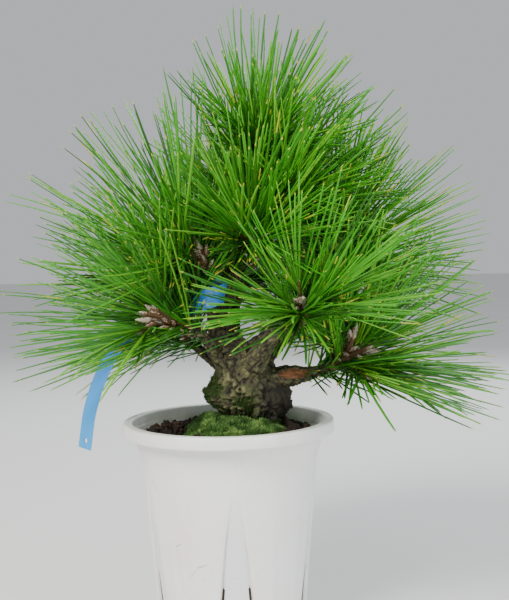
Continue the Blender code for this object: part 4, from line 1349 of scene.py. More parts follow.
def trunk_wings(rings, points):
    """Jagged slabs of cork on the trunk: each adds depth over an angle and a height.

    The push is depth times a bell over the angle times an S over the height, whose lower edge is
    torn by noise so that it hangs in teeth.  On the right the skirt of bark sinks by up to a few mm
    more, a bell over the angle times noise.
    """
    wings = (  # angle in degrees, half width, foot, top, depth, all heights and depths in mm
        (-18, 32, 138.6, 160, 3.4),
        (20, 26, 139.4, 158, 3.0),
        (-62, 24, 139.5, 156, 2.6),
        (196, 30, 137.5, 166, 1.4),
        (232, 22, 141.0, 158, 2.2),
        (120, 40, 141.0, 160, 2.4),
    )
    centred = rings - points[:, None, :]
    angle = np.arctan2(centred[..., 1], centred[..., 0])
    z = rings[..., 2] / MM
    around = np.stack((np.cos(angle), np.sin(angle), z * 0.002), axis=-1)
    teeth = 2.6 * rough_noise(around * 5, 61) + 2.3 * soft_noise(around * 15, 65)
    teeth += 1.3 * soft_noise(around * 34, 67)
    push = np.zeros(angle.shape)
    for middle, half, foot, top, depth in wings:
        away = np.angle(np.exp(1j * (angle - math.radians(middle))))
        bell = np.exp(-((away / math.radians(half)) ** 2))
        rise = eased(foot, foot + 1.4, z + teeth) * (1 - eased(top - 9, top + 4, z + teeth))
        push += depth * bell * rise
    low = eased(131, 136, z) * (1 - eased(150, 158, z))
    heights, sizes = np.array(TRUNK_LINE)[:, 2], np.array(TRUNK_LINE)[:, 3]
    hanging = 1.6 * np.exp(-(((angle + 0.15) / 0.8) ** 2)) - 0.8
    torn = np.interp(z + (1.3 * teeth + hanging) * low, heights, sizes) / np.interp(z, heights, sizes)
    outward = unit(centred * (1, 1, 0.0001))
    skirt = np.exp(-(((angle + 0.2) / 0.7) ** 2)) * eased(134, 141, z) * (1 - eased(147, 158, z))
    drop = 4.2 * skirt * (0.35 + 1.9 * np.abs(soft_noise(around * 26, 69)))
    hung = points[:, None, :] + centred * torn[..., None] + outward * (push * MM)[..., None]
    return hung - UP * (drop * MM)[..., None]


def moss_on_trunk(points):
    """Mossy places on the trunk: its left fringe, its foot and patches on the bulge in front."""
    x, y, z = points[..., 0] / MM, points[..., 1] / MM, points[..., 2] / MM
    left = eased(4, -12, x) * (1 - eased(160, 172, z)) * eased(136, 142, z)
    foot = (1 - eased(134, 141, z)) * eased(8, -4, y)
    bulge = 0.75 * eased(0, -12, y) * (1 - eased(152, 162, z)) * eased(24, 12, x)
    noise = rough_noise(points * 130, 83)
    return np.clip((left * 1.25 + foot + bulge) * eased(-0.45, 0.45, noise), 0, 1)


def scar_mask(points):
    """An old cut on the right low bough: a long oval on its upper front, with a soft rim."""
    centre = np.array((41.0, -10.5, 164.5)) * MM
    reach = np.array((11.0, 5.5, 3.4)) * MM
    away = np.linalg.norm((points - centre) / reach, axis=-1)
    return 1 - eased(0.72, 1.05, away + 0.12 * soft_noise(points * 300, 91))


def make_trunk_bark(settings):
    """The trunk's bark, from its cut foot to its tip, with wings and moss."""
    rings_along, sides = TRUNK_GRID
    rows = spline(TRUNK_LINE, rings_along)
    points, radii = rows[:, :3] * MM, rows[:, 3] * MM
    relief = settings.relief * np.interp(rows[:, 3], (3.4, 8, 20), (0.9, 1.35, 1.0))
    rings, ridge, outward = bark_rings(
        points, radii, sides, settings.plate, relief[:, None], SEED, rows[:, 4]
    )
    rings = trunk_wings(rings, points)
    rings[0, :, 2] = points[0, 2]
    mesh = tube_mesh(rings)
    moss = moss_on_trunk(mesh[0])
    x, z = mesh[0][:, 0] / MM, mesh[0][:, 2] / MM
    in_shade = eased(15, 25, x) * eased(162, 153, z)
    in_shade = np.maximum(in_shade, 0.8 * np.exp(-(((x - 3) / 6) ** 2) - ((z - 185) / 9) ** 2))
    values = {
        "ridge": np.concatenate((ridge.ravel(), (0.2, 0.4))) * (1 - 0.85 * in_shade),
        "moss": moss * (1 - 0.7 * in_shade),
        "scar": np.zeros(len(mesh[0])),
    }
    mossy = (moss[:-2] > 0.62) & (cell_values(np.arange(len(moss) - 2), seed=4) < 0.6)
    return mesh, values, rings.reshape(-1, 3)[mossy], outward.reshape(-1, 3)[mossy]


def make_limb_bark(name, settings):
    """A bough's or spur's bark, rising from inside the trunk with a flared collar."""
    count = BOUGH_RINGS if name in BOUGHS else SPUR_RINGS
    points, radii = limb_line(name, count)
    share = np.linspace(0, 1, count)
    radii = radii * (1 + (COLLAR_FLARE - 1) * (1 - eased(0.0, 0.42, share)))
    if name == "bough_right_low":
        radii = radii * (1 + 0.32 * np.exp(-(((share - 0.52) / 0.2) ** 2)))
    seed = SEED + 40 + list({**BOUGHS, **SPURS}).index(name) * 7
    plate = settings.plate * LIMB_PLATES
    rings, ridge, _ = bark_rings(points, radii, LIMB_SIDES, plate, settings.relief * 1.15, seed)
    mesh = tube_mesh(rings)
    scar = np.zeros(len(mesh[0]))
    if name == "bough_right_low":
        scar = scar_mask(mesh[0])
        inward = np.repeat(points, LIMB_SIDES, axis=0) - mesh[0][:-2]
        mesh[0][:-2] += unit(inward) * (scar[:-2] * 0.9 * MM)[:, None]
    # painted shade: the ridges darkened towards the bough's root
    ridge_shaded_at_root = ridge * eased(-0.10, 0.34, share)[:, None]
    values = {
        "ridge": np.concatenate((ridge_shaded_at_root.ravel(), (0.3, 0.4))),
        "moss": 0.5 * moss_on_trunk(mesh[0]),
        "scar": scar,
    }
    return mesh, values


# Twigs, buds and needles


def seat_of(carrier):
    """Where a carrier ends, which way it faces and its radius there."""
    line, sizes = limb_line(carrier)
    return line[-1], unit(line[-1] - line[-4]), sizes[-1]


def turned_from(axis, opening, turn):
    """Directions at an angle of opening from an axis, turned round it."""
    axis = np.asarray(axis, dtype=float)
    first = unit(np.cross(axis, UP if abs(axis[2]) < 0.9 else (1.0, 0.0, 0.0)))
    second = np.cross(axis, first)
    opening = np.asarray(opening)[..., None]
    turn = np.asarray(turn)[..., None]
    sideways = np.cos(turn) * first + np.sin(turn) * second
    return np.cos(opening) * axis + np.sin(opening) * sideways


def clear_of_limbs(samples, gap):
    """Whether all samples of each row lie clear of the trunk and boughs by a gap."""
    centres = []
    sizes = []
    for name in ("trunk", *BOUGHS):
        line, radii = limb_line(name, 44)
        centres.append(line)
        sizes.append(radii)
    centres = np.concatenate(centres)
    sizes = np.concatenate(sizes)
    away = np.linalg.norm(samples[:, :, None, :] - centres, axis=-1) - sizes
    return away.min(axis=(1, 2)) > gap


def grow_twigs(name, side_twigs):
    """A mass's twigs: its stem to each shoot, then side twigs by a seeded turn, carried on finer.

    Each has its path, first and last radius, its bud's aim and whether it is a main shoot.
    """
    carrier, shoots, _, _ = MASSES[name]
    dice = random.Random(SEED + list(MASSES).index(name))
    seat, facing, seat_radius = seat_of(carrier)
    fork = seat + facing * FORK_REACH
    twigs = []
    for bud, aim in shoots:
        aim = unit(aim)
        bud_foot = np.array(bud) * MM - aim * BUD_LENGTH
        bend = fork + facing * np.linalg.norm(bud_foot - fork) * 0.35
        path = spline((seat - facing * 2 * MM, fork, (bend + bud_foot) / 2, bud_foot), 26)
        twigs.append((path, seat_radius * 0.97, BUD_RADIUS * 0.8, aim, True))
    wanted = len(shoots) * (1 + side_twigs)
    for k in range(wanted * 4):
        path, _, _, aim, _ = twigs[k % len(shoots)]
        root = path[(15, 20, 10, 23, 12)[k // len(shoots) % 5]]
        turn = k * math.pi * 0.76 + dice.uniform(-0.8, 0.8)
        heading = turned_from(aim, SIDE_TWIG_OPENING + dice.uniform(-0.1, 0.2), turn)
        rising = unit(heading + 0.2 * UP)
        tip = root + rising * SIDE_TWIG_LENGTH * dice.uniform(0.7, 1.2)
        samples = np.linspace(root + (tip - root) * 0.35, tip, 6)[None]
        if clear_of_limbs(samples, SIDE_TWIG_RADIUS * 2)[0]:
            curve = spline((root, (root + tip) / 2 - 0.06 * (tip - root)[::-1] * 0.3, tip), 14)
            twigs.append((curve, SIDE_TWIG_RADIUS * 1.1, SIDE_TWIG_RADIUS, unit(tip - root), False))
        if len(twigs) == wanted:
            break
    return twigs


def twig_mesh(path, first_radius, last_radius, seed):
    """A scaly stem: a tube whose radius swells over each spiral row of old needle bases."""
    rows, sides = len(path) * 2, 11
    points = spline(path, rows)
    radii = np.linspace(first_radius, last_radius, rows)
    outward, angles = ring_directions(points, sides)
    length = np.linspace(0, np.linalg.norm(np.diff(path, axis=0), axis=1).sum(), rows)
    spiral = np.sin(5 * angles[None, :] + length[:, None] / (1.1 * MM)) * np.sin(
        3 * angles[None, :] - length[:, None] / (0.9 * MM) + seed
    )
    size = radii[:, None] * (1 + 0.17 * spiral)
    return tube_mesh(points[:, None, :] + size[..., None] * outward)


def bud_shape():
    """A spindle of overlapping scales, from 0 to 1 along Z: radius sin-like, with spiral scales."""
    rows, sides = BUD_GRID
    t = np.linspace(0.0, 1.0, rows)[:, None]
    angle = np.linspace(0, 2 * math.pi, sides, endpoint=False)[None, :]
    body = 0.155 * np.sin(math.pi * np.clip(t * 0.86 + 0.13, 0, 1)) ** 0.8
    scales = np.abs(np.sin(4 * angle + 16 * t)) * np.abs(np.sin(-3 * angle + 19 * t))
    radius = body * (0.74 + 0.58 * scales)
    rings = np.stack(np.broadcast_arrays(radius * np.cos(angle), radius * np.sin(angle), t), axis=-1)
    return tube_mesh(rings)


def make_buds(all_twigs):
    """A pale bud on each shoot with smaller ones round and below it, and one on each side twig."""
    dice = np.random.default_rng(SEED + 2)
    places, aims, sizes = [], [], []
    for twigs in all_twigs.values():
        for path, _, _, aim, is_main in twigs:
            places.append(path[-1] - aim * 1 * MM)
            aims.append(aim)
            sizes.append((16 if is_main else 7) * MM)
            if is_main:
                for k in range(SMALL_BUDS):
                    turn = k * GOLDEN_TURN + dice.uniform(-0.2, 0.2)
                    around = turned_from(aim, 0.42 + 0.05 * k, turn)
                    places.append(path[-1] + around * 0.8 * MM - aim * 1.2 * k * MM)
                    aims.append(around)
                    sizes.append((11.5 - 0.48 * k) * MM)
    places, aims, sizes = np.array(places), np.array(aims), np.array(sizes)
    shape = bud_shape()
    mesh = scattered(shape, places, turned_up(aims, dice.uniform(0, 6.3, len(places))), sizes)
    rows, columns = np.divmod(np.arange(len(shape[1])), BUD_GRID[1])
    pattern = np.where(cell_values(rows, columns, seed=9) < 0.055 * rows, 0, 1)
    quad_slots = np.tile(pattern, len(places))
    fan_slots = np.tile(np.repeat((1, 0), BUD_GRID[1]), len(places))
    return mesh, np.concatenate((quad_slots, fan_slots))


def needle_mesh(roots, headings, lengths, bends, widths):
    """Three-sided needles: along root + heading L t + bend t^2, as wide as the shape table says.

    Rows of three points at each stop and one tip point; quads, then fans at the tip and the root.
    """
    count, stops = len(roots), len(NEEDLE_STOPS)
    t = NEEDLE_STOPS[None, :, None]
    middle = roots[:, None] + headings[:, None] * lengths[:, None, None] * t + bends[:, None] * t**2
    tips = roots + headings * lengths[:, None] + bends
    first = unit(np.cross(headings, UP + 0.31 * headings[:, ::-1]))
    second = np.cross(headings, first)
    corners = np.array(((-0.5, -0.12), (0.5, -0.12), (0.0, 0.42)))
    offsets = corners[:, 0, None] * first[:, None] + corners[:, 1, None] * second[:, None]
    size = widths[:, None] * NEEDLE_SHAPE[None, :]
    rings = middle[:, :, None, :] + offsets[:, None] * size[..., None, None]
    points = np.concatenate((rings.reshape(count, -1, 3), tips[:, None]), axis=1)
    quads = grid_quads(stops, 3)
    last = 3 * (stops - 1)
    tip = last + 3
    fans = np.array(((last, last + 1, tip), (last + 1, last + 2, tip), (last + 2, last, tip), (2, 1, 0)))
    starts = (np.arange(count) * points.shape[1])[:, None, None]
    return points.reshape(-1, 3), (quads + starts).reshape(-1, 4), (fans + starts).reshape(-1, 3)


SPRAY_COLOURS = 5
TIP_SLOT = 5
SHEATH_SLOT = 6


def needle_slots(colours, tipped, long_tips):
    """Each face's material: sheath on the first ring, the spray's green, and a tip of its own."""
    count = len(colours)
    quad = np.repeat(colours, 3 * (len(NEEDLE_STOPS) - 1)).reshape(count, -1)
    quad[:, :3] = SHEATH_SLOT
    fan = np.repeat(colours, 4).reshape(count, 4)
    fan[:, :3] = np.where(tipped, TIP_SLOT, colours)[:, None]
    fan[:, 3] = SHEATH_SLOT
    yellowed = tipped & (cell_values(np.arange(count), seed=8) < long_tips)
    quad[:, -3:] = np.where(yellowed, TIP_SLOT, colours)[:, None]
    return np.concatenate((quad.ravel(), fan.ravel()))


def lifted(headings, dice, name):
    """Headings raised towards the light: none may fall steeper than a slope drawn for each."""
    steepest = -0.62 if name == "needles_right_low" else -0.34
    limit = steepest + 0.5 * dice.uniform(0, 1, len(headings)) ** 1.6
    raised = headings.copy()
    raised[:, 2] = np.maximum(raised[:, 2], limit)
    return unit(raised)


def grow_needles(name, twigs, settings):
    """Pairs of needles round each bud, evenly over its cap, the wider ones rooted lower."""
    _, _, length, widest = MASSES[name]
    dice = np.random.default_rng(SEED * 7 + list(MASSES).index(name))
    all_roots, all_headings, all_lengths, all_bends, all_colours = [], [], [], [], []
    for number, (path, _, _, aim, is_main) in enumerate(twigs):
        wanted = settings.shoot_pairs if is_main else settings.twig_pairs
        reach = length * MM * (1.0 if is_main else SIDE_REACH * dice.uniform(0.85, 1.25))
        k = np.arange(wanted)
        share = ((0.5 + k * EVEN_STEPS[0]) % 1.0) ** 1.25
        heart = OPEN_HEARTS.get(name, SHOOT_HEART) if is_main else SIDE_HEART
        narrow = math.cos(math.radians(heart))
        wide = math.cos(math.radians(widest if is_main else SIDE_WIDEST))
        opening = np.arccos(narrow + (wide - narrow) * share)
        turn = 2 * math.pi * k * EVEN_STEPS[1] + dice.normal(scale=0.15, size=wanted)
        headings = lifted(turned_from(aim, opening, turn), dice, name)
        full_tips = path[-1] + aim * BUD_LENGTH * (0.95 - 0.75 * share[:, None]) * is_main
        full_tips = full_tips + headings * (reach * dice.uniform(0.72, 1.0, wanted) ** 0.8)[:, None]
        down = (3.5 + share * (23 if is_main else 9)) * MM
        steps = np.linalg.norm(np.diff(path, axis=0), axis=1)
        from_tip = np.concatenate((np.cumsum(steps[::-1])[::-1], (0.0,)))
        roots = on_path(-down, -from_tip, path)
        spread = unit(np.cross(headings, dice.normal(size=(wanted, 3))))
        gap = np.radians(dice.uniform(1.0, 4.5, wanted))[:, None]
        colour = spray_colour(dice, number, wanted, is_main)
        sweep = dice.normal(size=(wanted, 3))
        for side in (-1, 1):
            far = np.linalg.norm(full_tips - roots, axis=1)[:, None]
            tips = full_tips + side * gap * spread * far
            own = np.linalg.norm(tips - roots, axis=1)[:, None]
            one = (tips - roots) / own
            level = np.linalg.norm(one[:, :2], axis=1)[:, None]
            bow = 0.055 * (sweep - (sweep * one).sum(axis=1)[:, None] * one) + 0.05 * aim
            bend = own * (bow - 0.035 * UP * level)
            own = own * dice.uniform(0.94, 1.0, (wanted, 1))
            all_roots.append(roots + side * spread * 0.3 * MM)
            all_headings.append(unit(one * own - bend))
            all_lengths.append(np.linalg.norm(one * own - bend, axis=1))
            all_bends.append(bend)
            all_colours.append(colour)
    roots, headings = np.concatenate(all_roots), np.concatenate(all_headings)
    lengths, bends = np.concatenate(all_lengths), np.concatenate(all_bends)
    colours = np.concatenate(all_colours)
    t = np.linspace(0.18, 1.0, 9)[None, :, None]
    samples = roots[:, None] + headings[:, None] * lengths[:, None, None] * t + bends[:, None] * t**2
    lowest = samples[..., 2].min(axis=1)
    free = clear_of_limbs(samples, 0.4 * MM)
    free &= lowest > np.maximum(LOWEST_TIP, floor_under(samples[:, -1]))
    free &= ~hides_bud(roots, headings, lengths, bends)
    roots, headings, lengths, bends, colours = (
        given[free] for given in (roots, headings, lengths, bends, colours)
    )
    widths = settings.width * dice.uniform(0.86, 1.1, len(roots))
    tipped = dice.uniform(0, 1, len(roots)) < 0.55
    slots = needle_slots(colours, tipped, 0.06)
    return needle_mesh(roots, headings, lengths, bends, widths), slots


def hides_bud(roots, headings, lengths, bends):
    """Whether a needle passes between the camera and a bud of the front shoots.

    A point hides a bud if it lies before it, and nearer than a small gap to the line of sight.
    """
    t = np.linspace(0.0, 1.0, 36)[None, :, None]
    samples = roots[:, None] + headings[:, None] * lengths[:, None, None] * t + bends[:, None] * t**2
    hides = np.zeros(len(roots), dtype=bool)
    for name in OPEN_HEARTS:
        for bud, aim in MASSES[name][1]:
            for back, gap in ((2, 2.6), (8, 3.4), (14, 3.4), (20, 2.6)):
                target = (np.array(bud) - unit(aim) * back) * MM
                sight = unit(np.array(CAMERA_PLACE) - target)
                reach = samples - target
                before = reach @ sight
                away = np.linalg.norm(reach - before[..., None] * sight, axis=-1)
                hides |= ((before > 2.5 * MM) & (away < gap * MM)).any(axis=1)
    return hides


def floor_under(tips):
    """How low a needle may hang: not over the trunk in front, nor far below the outer boughs."""
    x, y = tips[:, 0] / MM, tips[:, 1] / MM
    over_trunk = eased(-44, -32, x) * (1 - eased(74, 92, x)) * (1 - eased(-10, 14, y))
    at_left = (1 - eased(-60, -30, x)) * (1 - eased(10, 40, y))
    return (138 + np.maximum(40 * over_trunk, 18 * at_left)) * MM


def spray_colour(dice, number, count, is_main):
    """A green for each pair: one for the whole twig, with some pairs a step lighter or darker."""
    base = (1 if is_main else 2) + number % 2
    step = dice.choice((-1, 0, 0, 1, 2), count)
    return np.clip(base + step, 0, SPRAY_COLOURS - 1)


def old_needle_sites(all_twigs):
    """Where last year's needles stand: the leader, the outer boughs and the stems' lower halves.

    Each has its path, the shares of it that bear them, how many pairs and their length in mm.
    """
    leader, _ = limb_line("trunk", 200)
    sites = [(leader[110:188], 150, 44)]
    for name in BOUGHS:
        line, _ = limb_line(name, 60)
        sites.append((line[40:], 18, 38))
    for twigs in all_twigs.values():
        for path, _, _, _, is_main in twigs:
            sites.append((path[3:22], 46, 48) if is_main else (path[3:12], 9, 34))
    return sites


def grow_old_needles(all_twigs, settings):
    """Short older pairs, set square to their stem by the golden turn, leaning on towards its tip."""
    dice = np.random.default_rng(SEED + 3)
    rows = []
    for path, count, length in old_needle_sites(all_twigs):
        k = np.arange(count)
        at = (k + 0.5) / count * (len(path) - 1)
        roots = on_path(at, np.arange(len(path)), path)
        along = unit(path[-1] - path[0])
        opening = np.radians(dice.uniform(26, 72, count))
        headings = turned_from(along, opening, k * GOLDEN_TURN)
        headings[:, 2] = np.maximum(headings[:, 2], -0.25)
        headings = unit(headings)
        spread = unit(np.cross(headings, dice.normal(size=(count, 3))))
        own = length * MM * dice.uniform(0.55, 1.15, count)
        colour = dice.choice((0, 1, 2, 4), count, p=(0.42, 0.36, 0.14, 0.08))
        for side in (-1, 1):
            one = unit(headings + side * spread * np.radians(dice.uniform(3, 9, (count, 1))))
            rows.append((roots, one, own, -0.04 * own[:, None] * UP, colour))
    roots, headings, lengths, bends, colours = (np.concatenate(column) for column in zip(*rows))
    tips = roots + headings * lengths[:, None] + bends
    free = (tips[:, 2] > LOWEST_TIP + 6 * MM) & ~hides_bud(roots, headings, lengths, bends)
    roots, headings, lengths, bends, colours = (
        given[free] for given in (roots, headings, lengths, bends, colours)
    )
    widths = settings.width * dice.uniform(0.8, 1.0, len(roots))
    tipped = dice.uniform(0, 1, len(roots)) < 0.7
    slots = needle_slots(colours, tipped, 0.5)
    return needle_mesh(roots, headings, lengths, bends, widths), slots


def needle_materials(settings):
    """Greens from deep to pale, a yellow tip and a brown sheath, each one plain colour."""
    green = np.array(settings.green)
    steps = (
        ("needle_deep", green * (0.45, 0.42, 0.6)),
        ("needle_dark", green * (0.70, 0.68, 0.8)),
        ("needle_green", green),
        ("needle_bright", green * (1.8, 1.30, 2.2)),
        ("needle_lime", green * (3.4, 1.55, 3.2)),
    )
    materials = [plain_material(name, colour, 0.42, Specular_IOR_Level=0.4) for name, colour in steps]
    materials.append(plain_material("needle_tip", (0.40, 0.43, 0.03), 0.45))
    materials.append(plain_material("needle_sheath", (0.13, 0.10, 0.045), 0.7))
    return materials


# Strap


def make_strap():
    """The strap: a flat oblong carried along its path, with a round hole near its lower end."""
    rows, columns = STRAP_GRID
    line = spline([(*point, *across) for point, across in STRAP_LINE], rows)
    points = line[:, :3] * MM
    along = unit(np.gradient(points, axis=0))
    across = line[:, 3:]
    across = unit(across - (across * along).sum(axis=1)[:, None] * along)
    outward = np.cross(along, across)
    length = np.concatenate(([0.0], np.cumsum(np.linalg.norm(np.diff(points, axis=0), axis=1))))
    hole_at = length[-1] - STRAP_HOLE_FROM_END
    hole_row = int(np.searchsorted(length, hole_at))
    half_block = 3
    share = np.linspace(-0.5, 0.5, columns + 1)
    s = np.broadcast_to(length[:, None], (rows, columns + 1)).copy()
    w = np.broadcast_to(share * STRAP_WIDTH, (rows, columns + 1)).copy()
    a = (np.arange(rows) - hole_row)[:, None] / half_block
    b = (np.arange(columns + 1) - columns // 2)[None, :] / half_block
    far = np.maximum(np.abs(a), np.abs(b))
    near = np.clip(2.2 - far, 0, 1)
    ratio = far / np.maximum(np.hypot(a, b), 1e-9)
    s += near * (length[hole_row] + a * ratio * STRAP_HOLE_RADIUS - s)
    w += near * (b * ratio * STRAP_HOLE_RADIUS - w)
    shift = (s - length[:, None])[..., None] * along[:, None]
    middle = points[:, None] + shift + w[..., None] * across[:, None]
    thin = STRAP_THICKNESS / 2 * (1 - 0.5 * eased(0.44, 0.5, np.abs(share)))[None, :, None]
    cup = 0.25 * MM * (1 - (2 * share) ** 2)[None, :, None]
    top = middle + outward[:, None] * (thin + cup)
    bottom = middle + outward[:, None] * (cup - thin)
    rings = np.concatenate((top, bottom[:, ::-1]), axis=1)
    width = rings.shape[1]
    quads = grid_quads(rows, width)
    first_row, first_column = hole_row - half_block, columns // 2 - half_block
    r = np.arange(first_row, first_row + 2 * half_block)
    c = np.arange(first_column, first_column + 2 * half_block)
    keep = np.ones(len(quads), dtype=bool)
    keep[(r[:, None] * width + c).ravel()] = False
    keep[(r[:, None] * width + (width - 2 - c)).ravel()] = False
    around_rows, around_columns = block_edge(first_row, 2 * half_block, first_column, 2 * half_block)
    over = around_rows * width + around_columns
    under = around_rows * width + width - 1 - around_columns
    walls = np.stack((np.roll(over, -1), over, under, np.roll(under, -1)), axis=1)
    column = np.arange(columns)
    foot = np.stack((column + 1, column, width - 1 - column, width - 2 - column), axis=1)
    last = (rows - 1) * width
    head = np.stack((column, column + 1, width - 2 - column, width - 1 - column), axis=1) + last
    faces = np.concatenate((quads[keep], walls, foot, head))
    return rings.reshape(-1, 3), faces, np.empty((0, 3), dtype=int)


# Operators


class BONSAI_OT_pot(Operator):
    """Make the white plastic pot"""

    bl_idname = "bonsai.pot"
    bl_label = "Pot"

    def execute(self, context):
        settings = context.scene.bonsai.pot
        mesh, values = make_pot(settings)
        plastic = pot_material(settings)
        piece = add_piece("pot_wall", mesh, [plastic], ["pot"], values=values)
        face_outwards(piece)
        return {"FINISHED"}


class BONSAI_OT_soil(Operator):
    """Finish the soil and scatter its crumbs"""

    bl_idname = "bonsai.soil"
    bl_label = "Soil"

    def execute(self, context):
        settings = context.scene.bonsai.ground
        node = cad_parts["soil"]
        node.data.materials.clear()
        node.data.materials.append(soil_material(settings))
        base = np.array(settings.soil)
        shades = ((0.45, 0.45, 0.45), (0.9, 0.85, 0.8), (1.7, 1.3, 1.15), (3.0, 2.7, 2.4))
        materials = [
            plain_material(f"soil_crumb_{k}", base * shade, 0.92, 1.0)
            for k, shade in enumerate(shades)
        ]
        mesh, slots = make_crumbs(settings)
        add_piece("soil_crumbs", mesh, materials, slots=slots)
        return {"FINISHED"}


class BONSAI_OT_bark(Operator):
    """Make the bark of the trunk and every bough, and the moss on the trunk's foot"""

    bl_idname = "bonsai.bark"
    bl_label = "Bark and moss"

    def execute(self, context):
        settings = context.scene.bonsai.bark
        ground = context.scene.bonsai.ground
        bark = bark_material(settings)
        mesh, values, mossy_places, mossy_normals = make_trunk_bark(settings)
        add_piece("trunk_bark", mesh, [bark], ["trunk"], values=values)
        for name in (*BOUGHS, *SPURS):
            mesh, values = make_limb_bark(name, settings)
            nodes = [name] if name in BOUGHS else []
            add_piece(name + "_bark", mesh, [bark], nodes, values=values)
        green = np.array(ground.moss)
        mound = plain_material("moss_mound", green * 0.20, 0.95, 0.8)
        add_piece("moss_mound", make_moss_mound(ground), [mound], ["moss"])
        shades = ((0.5, 0.5, 0.5), (1.0, 1.0, 1.0), (1.9, 1.6, 2.2), (4.6, 2.7, 5.0), (0.85, 0.52, 0.5))
        tints = [
            plain_material(f"moss_tuft_{k}", green * shade, 0.75)
            for k, shade in enumerate(shades)
        ]
        tufts, slots = make_moss_tufts(ground, mossy_places, mossy_normals)
        add_piece("moss_tufts", tufts, tints, slots=slots, smooth=False)
        return {"FINISHED"}


class BONSAI_OT_needles(Operator):
    """Grow the twigs, the buds and all needles"""

    bl_idname = "bonsai.needles"
    bl_label = "Twigs and needles"

    def execute(self, context):
        settings = context.scene.bonsai.needles
        all_twigs = {name: grow_twigs(name, settings.side_twigs) for name in MASSES}
        stems = [
            twig_mesh(path, first, last, number)
            for twigs in all_twigs.values()
            for number, (path, first, last, _, _) in enumerate(twigs)
        ]
        scaly = plain_material("scaly_twig", (0.150, 0.078, 0.034), 0.8, 0.8)
        add_piece("twigs", joined(stems), [scaly])
        pale = plain_material("bud_pale", (0.56, 0.47, 0.37), 0.75, 0.4)
        tan = plain_material("bud_tan", (0.235, 0.098, 0.040), 0.75, 0.4)
        buds, bud_slots = make_buds(all_twigs)
        add_piece("buds", buds, [pale, tan], slots=bud_slots)
        materials = needle_materials(settings)
        for name, twigs in all_twigs.items():
            mesh, slots = grow_needles(name, twigs, settings)
            add_piece(name + "_long", mesh, materials, [name], slots=slots)
        mesh, slots = grow_old_needles(all_twigs, settings)
        add_piece("needles_old", mesh, materials, slots=slots)
        return {"FINISHED"}


class BONSAI_OT_strap(Operator):
    """Make the blue label strap"""

    bl_idname = "bonsai.strap"
    bl_label = "Label strap"

    def execute(self, context):
        settings = context.scene.bonsai.strap
        material = new_material("blue_strap", settings.colour, 0.42, Coat_Weight=0.1)
        tree = material.node_tree
        shade = put_grain(material, 70.0, 900.0, 0.4, 0.12)
        plain = tuple(settings.colour)
        pale = tuple(min(1.0, v * 1.2 + 0.015) for v in plain)
        painted_light_blue = (plain[0] * 1.1, plain[1] * 1.5, plain[2] * 1.2)
        parts = add_node(tree, "ShaderNodeSeparateXYZ")
        place = add_node(tree, "ShaderNodeTexCoord")
        tree.links.new(place.outputs["Object"], parts.inputs[0])
        # painted light: the strap's lower end is paler where the light falls on it
        low = scaled_value(tree, parts.outputs["Z"], 185 * MM, 130 * MM, 0.0, 1.0)
        colour = mixed_colour(tree, low, mixed_colour(tree, shade, plain, pale), painted_light_blue)
        tree.links.new(colour, tree.nodes["Principled BSDF"].inputs["Base Color"])
        piece = add_piece("label_strap_band", make_strap(), [material], ["label_strap"])
        face_outwards(piece)
        return {"FINISHED"}


class BONSAI_OT_stage(Operator):
    """Set the plain floor, the soft lights and the camera"""

    bl_idname = "bonsai.stage"
    bl_label = "Stage"

    def execute(self, context):
        settings = context.scene.bonsai.stage
        half = settings.floor_size / 2
        corners = [(x * half, y * half, 0) for x, y in ((-1, -1), (1, -1), (1, 1), (-1, 1))]
        mesh = bpy.data.meshes.new("floor")
        mesh.from_pydata(corners, [], [(0, 1, 2, 3)])
        mesh.materials.append(new_material("floor", settings.floor, 0.85))
        floor = bpy.data.objects.new("floor", mesh)
        context.scene.collection.objects.link(floor)
        world = bpy.data.worlds.new("studio")
        world.use_nodes = True
        background = world.node_tree.nodes["Background"]
        background.inputs["Color"].default_value = (0.86, 0.89, 0.93, 1.0)
        background.inputs["Strength"].default_value = 0.62
        context.scene.world = world
        for name, place, size, energy, colour in LIGHTS:
            add_light(context, name, place, size, energy, colour)
        add_camera(context)
        return {"FINISHED"}


# Name, place, side of the square, power, colour
LIGHTS = (
    ("key", (-0.62, -0.95, 1.15), 0.55, 34.0, (1.0, 0.97, 0.92)),
    ("fill", (1.1, -0.8, 0.55), 1.0, 12.0, (0.88, 0.94, 1.0)),
    ("back", (0.25, 1.1, 1.0), 0.9, 13.0, (0.96, 0.98, 1.0)),
)
LIGHT_AIM = np.array((0.0, 0.0, 0.2))


def add_light(context, name, place, size, energy, colour):
    """A square soft light that looks at the plant's middle."""
    data = bpy.data.lights.new(name, "AREA")
    data.size = size
    data.energy = energy
    data.color = colour
    light = bpy.data.objects.new(name, data)
    backwards = unit(np.array(place) - LIGHT_AIM)
    turn = turned_up(backwards[None], np.zeros(1))[0]
    light.matrix_world = Matrix.Translation(place) @ Matrix(turn.tolist()).to_4x4()
    context.scene.collection.objects.link(light)


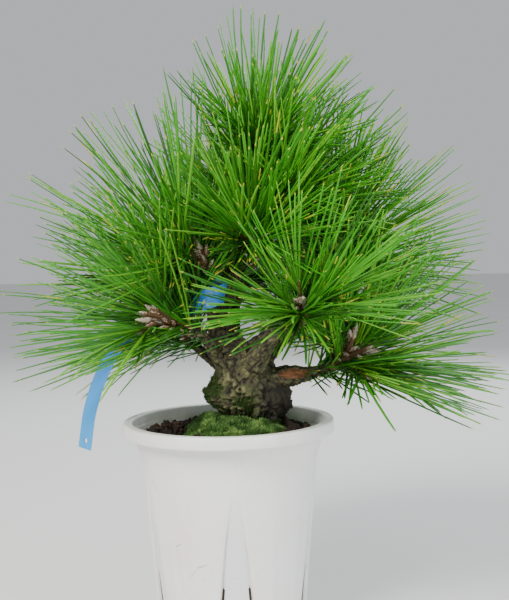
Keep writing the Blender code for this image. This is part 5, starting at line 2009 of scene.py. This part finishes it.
def add_camera(context):
    """The camera: level with the crown, pitched a little down and rolled a little."""
    data = bpy.data.cameras.new("camera")
    data.lens = CAMERA_LENS
    data.sensor_width = 36
    data.clip_start = 0.01
    camera = bpy.data.objects.new("camera", data)
    level = np.array((1.0, 0.0, 0.0))
    ahead = np.array((0.0, math.cos(CAMERA_PITCH), -math.sin(CAMERA_PITCH)))
    upward = np.array((0.0, math.sin(CAMERA_PITCH), math.cos(CAMERA_PITCH)))
    right = math.cos(CAMERA_ROLL) * level + math.sin(CAMERA_ROLL) * upward
    above = -math.sin(CAMERA_ROLL) * level + math.cos(CAMERA_ROLL) * upward
    turn = Matrix(np.stack((right, above, -ahead), axis=1).tolist()).to_4x4()
    camera.matrix_world = Matrix.Translation(CAMERA_PLACE) @ turn
    context.scene.collection.objects.link(camera)
    context.scene.camera = camera


def face_outwards(piece):
    """Turn a closed mesh's faces so that its volume counts as positive."""
    mesh = piece.data
    mesh.calc_loop_triangles()
    corners = np.empty(len(mesh.loop_triangles) * 3, dtype=np.int32)
    mesh.loop_triangles.foreach_get("vertices", corners)
    places = np.empty(len(mesh.vertices) * 3, dtype=np.float32)
    mesh.vertices.foreach_get("co", places)
    a, b, c = (places.reshape(-1, 3)[corners.reshape(-1, 3)[:, k]] for k in range(3))
    if (a * np.cross(b, c)).sum() < 0:
        mesh.flip_normals()


OPERATORS = (
    BONSAI_OT_pot,
    BONSAI_OT_soil,
    BONSAI_OT_bark,
    BONSAI_OT_needles,
    BONSAI_OT_strap,
    BONSAI_OT_stage,
)


class BONSAI_PT_panel(Panel):
    """The bonsai's pieces, in the order in which they are made"""

    bl_idname = "BONSAI_PT_panel"
    bl_label = "Potted Pine Bonsai"
    bl_space_type = "VIEW_3D"
    bl_region_type = "UI"
    bl_category = "Bonsai"

    def draw(self, context):
        for operator in OPERATORS:
            self.layout.operator(operator.bl_idname)


CLASSES = (
    PotSettings,
    GroundSettings,
    BarkSettings,
    NeedleSettings,
    StrapSettings,
    StageSettings,
    BonsaiSettings,
    *OPERATORS,
    BONSAI_PT_panel,
)


def register():
    """Make the settings, operators and panel known to Blender."""
    for kind in CLASSES:
        bpy.utils.register_class(kind)
    bpy.types.Scene.bonsai = PointerProperty(type=BonsaiSettings)


def unregister():
    """Take them away again, in the opposite order."""
    del bpy.types.Scene.bonsai
    for kind in reversed(CLASSES):
        bpy.utils.unregister_class(kind)


def main():
    """Build every piece in order."""
    register()
    bpy.ops.bonsai.pot()
    bpy.ops.bonsai.soil()
    bpy.ops.bonsai.bark()
    bpy.ops.bonsai.needles()
    bpy.ops.bonsai.strap()
    bpy.ops.bonsai.stage()


if __name__ == "__main__":
    main()
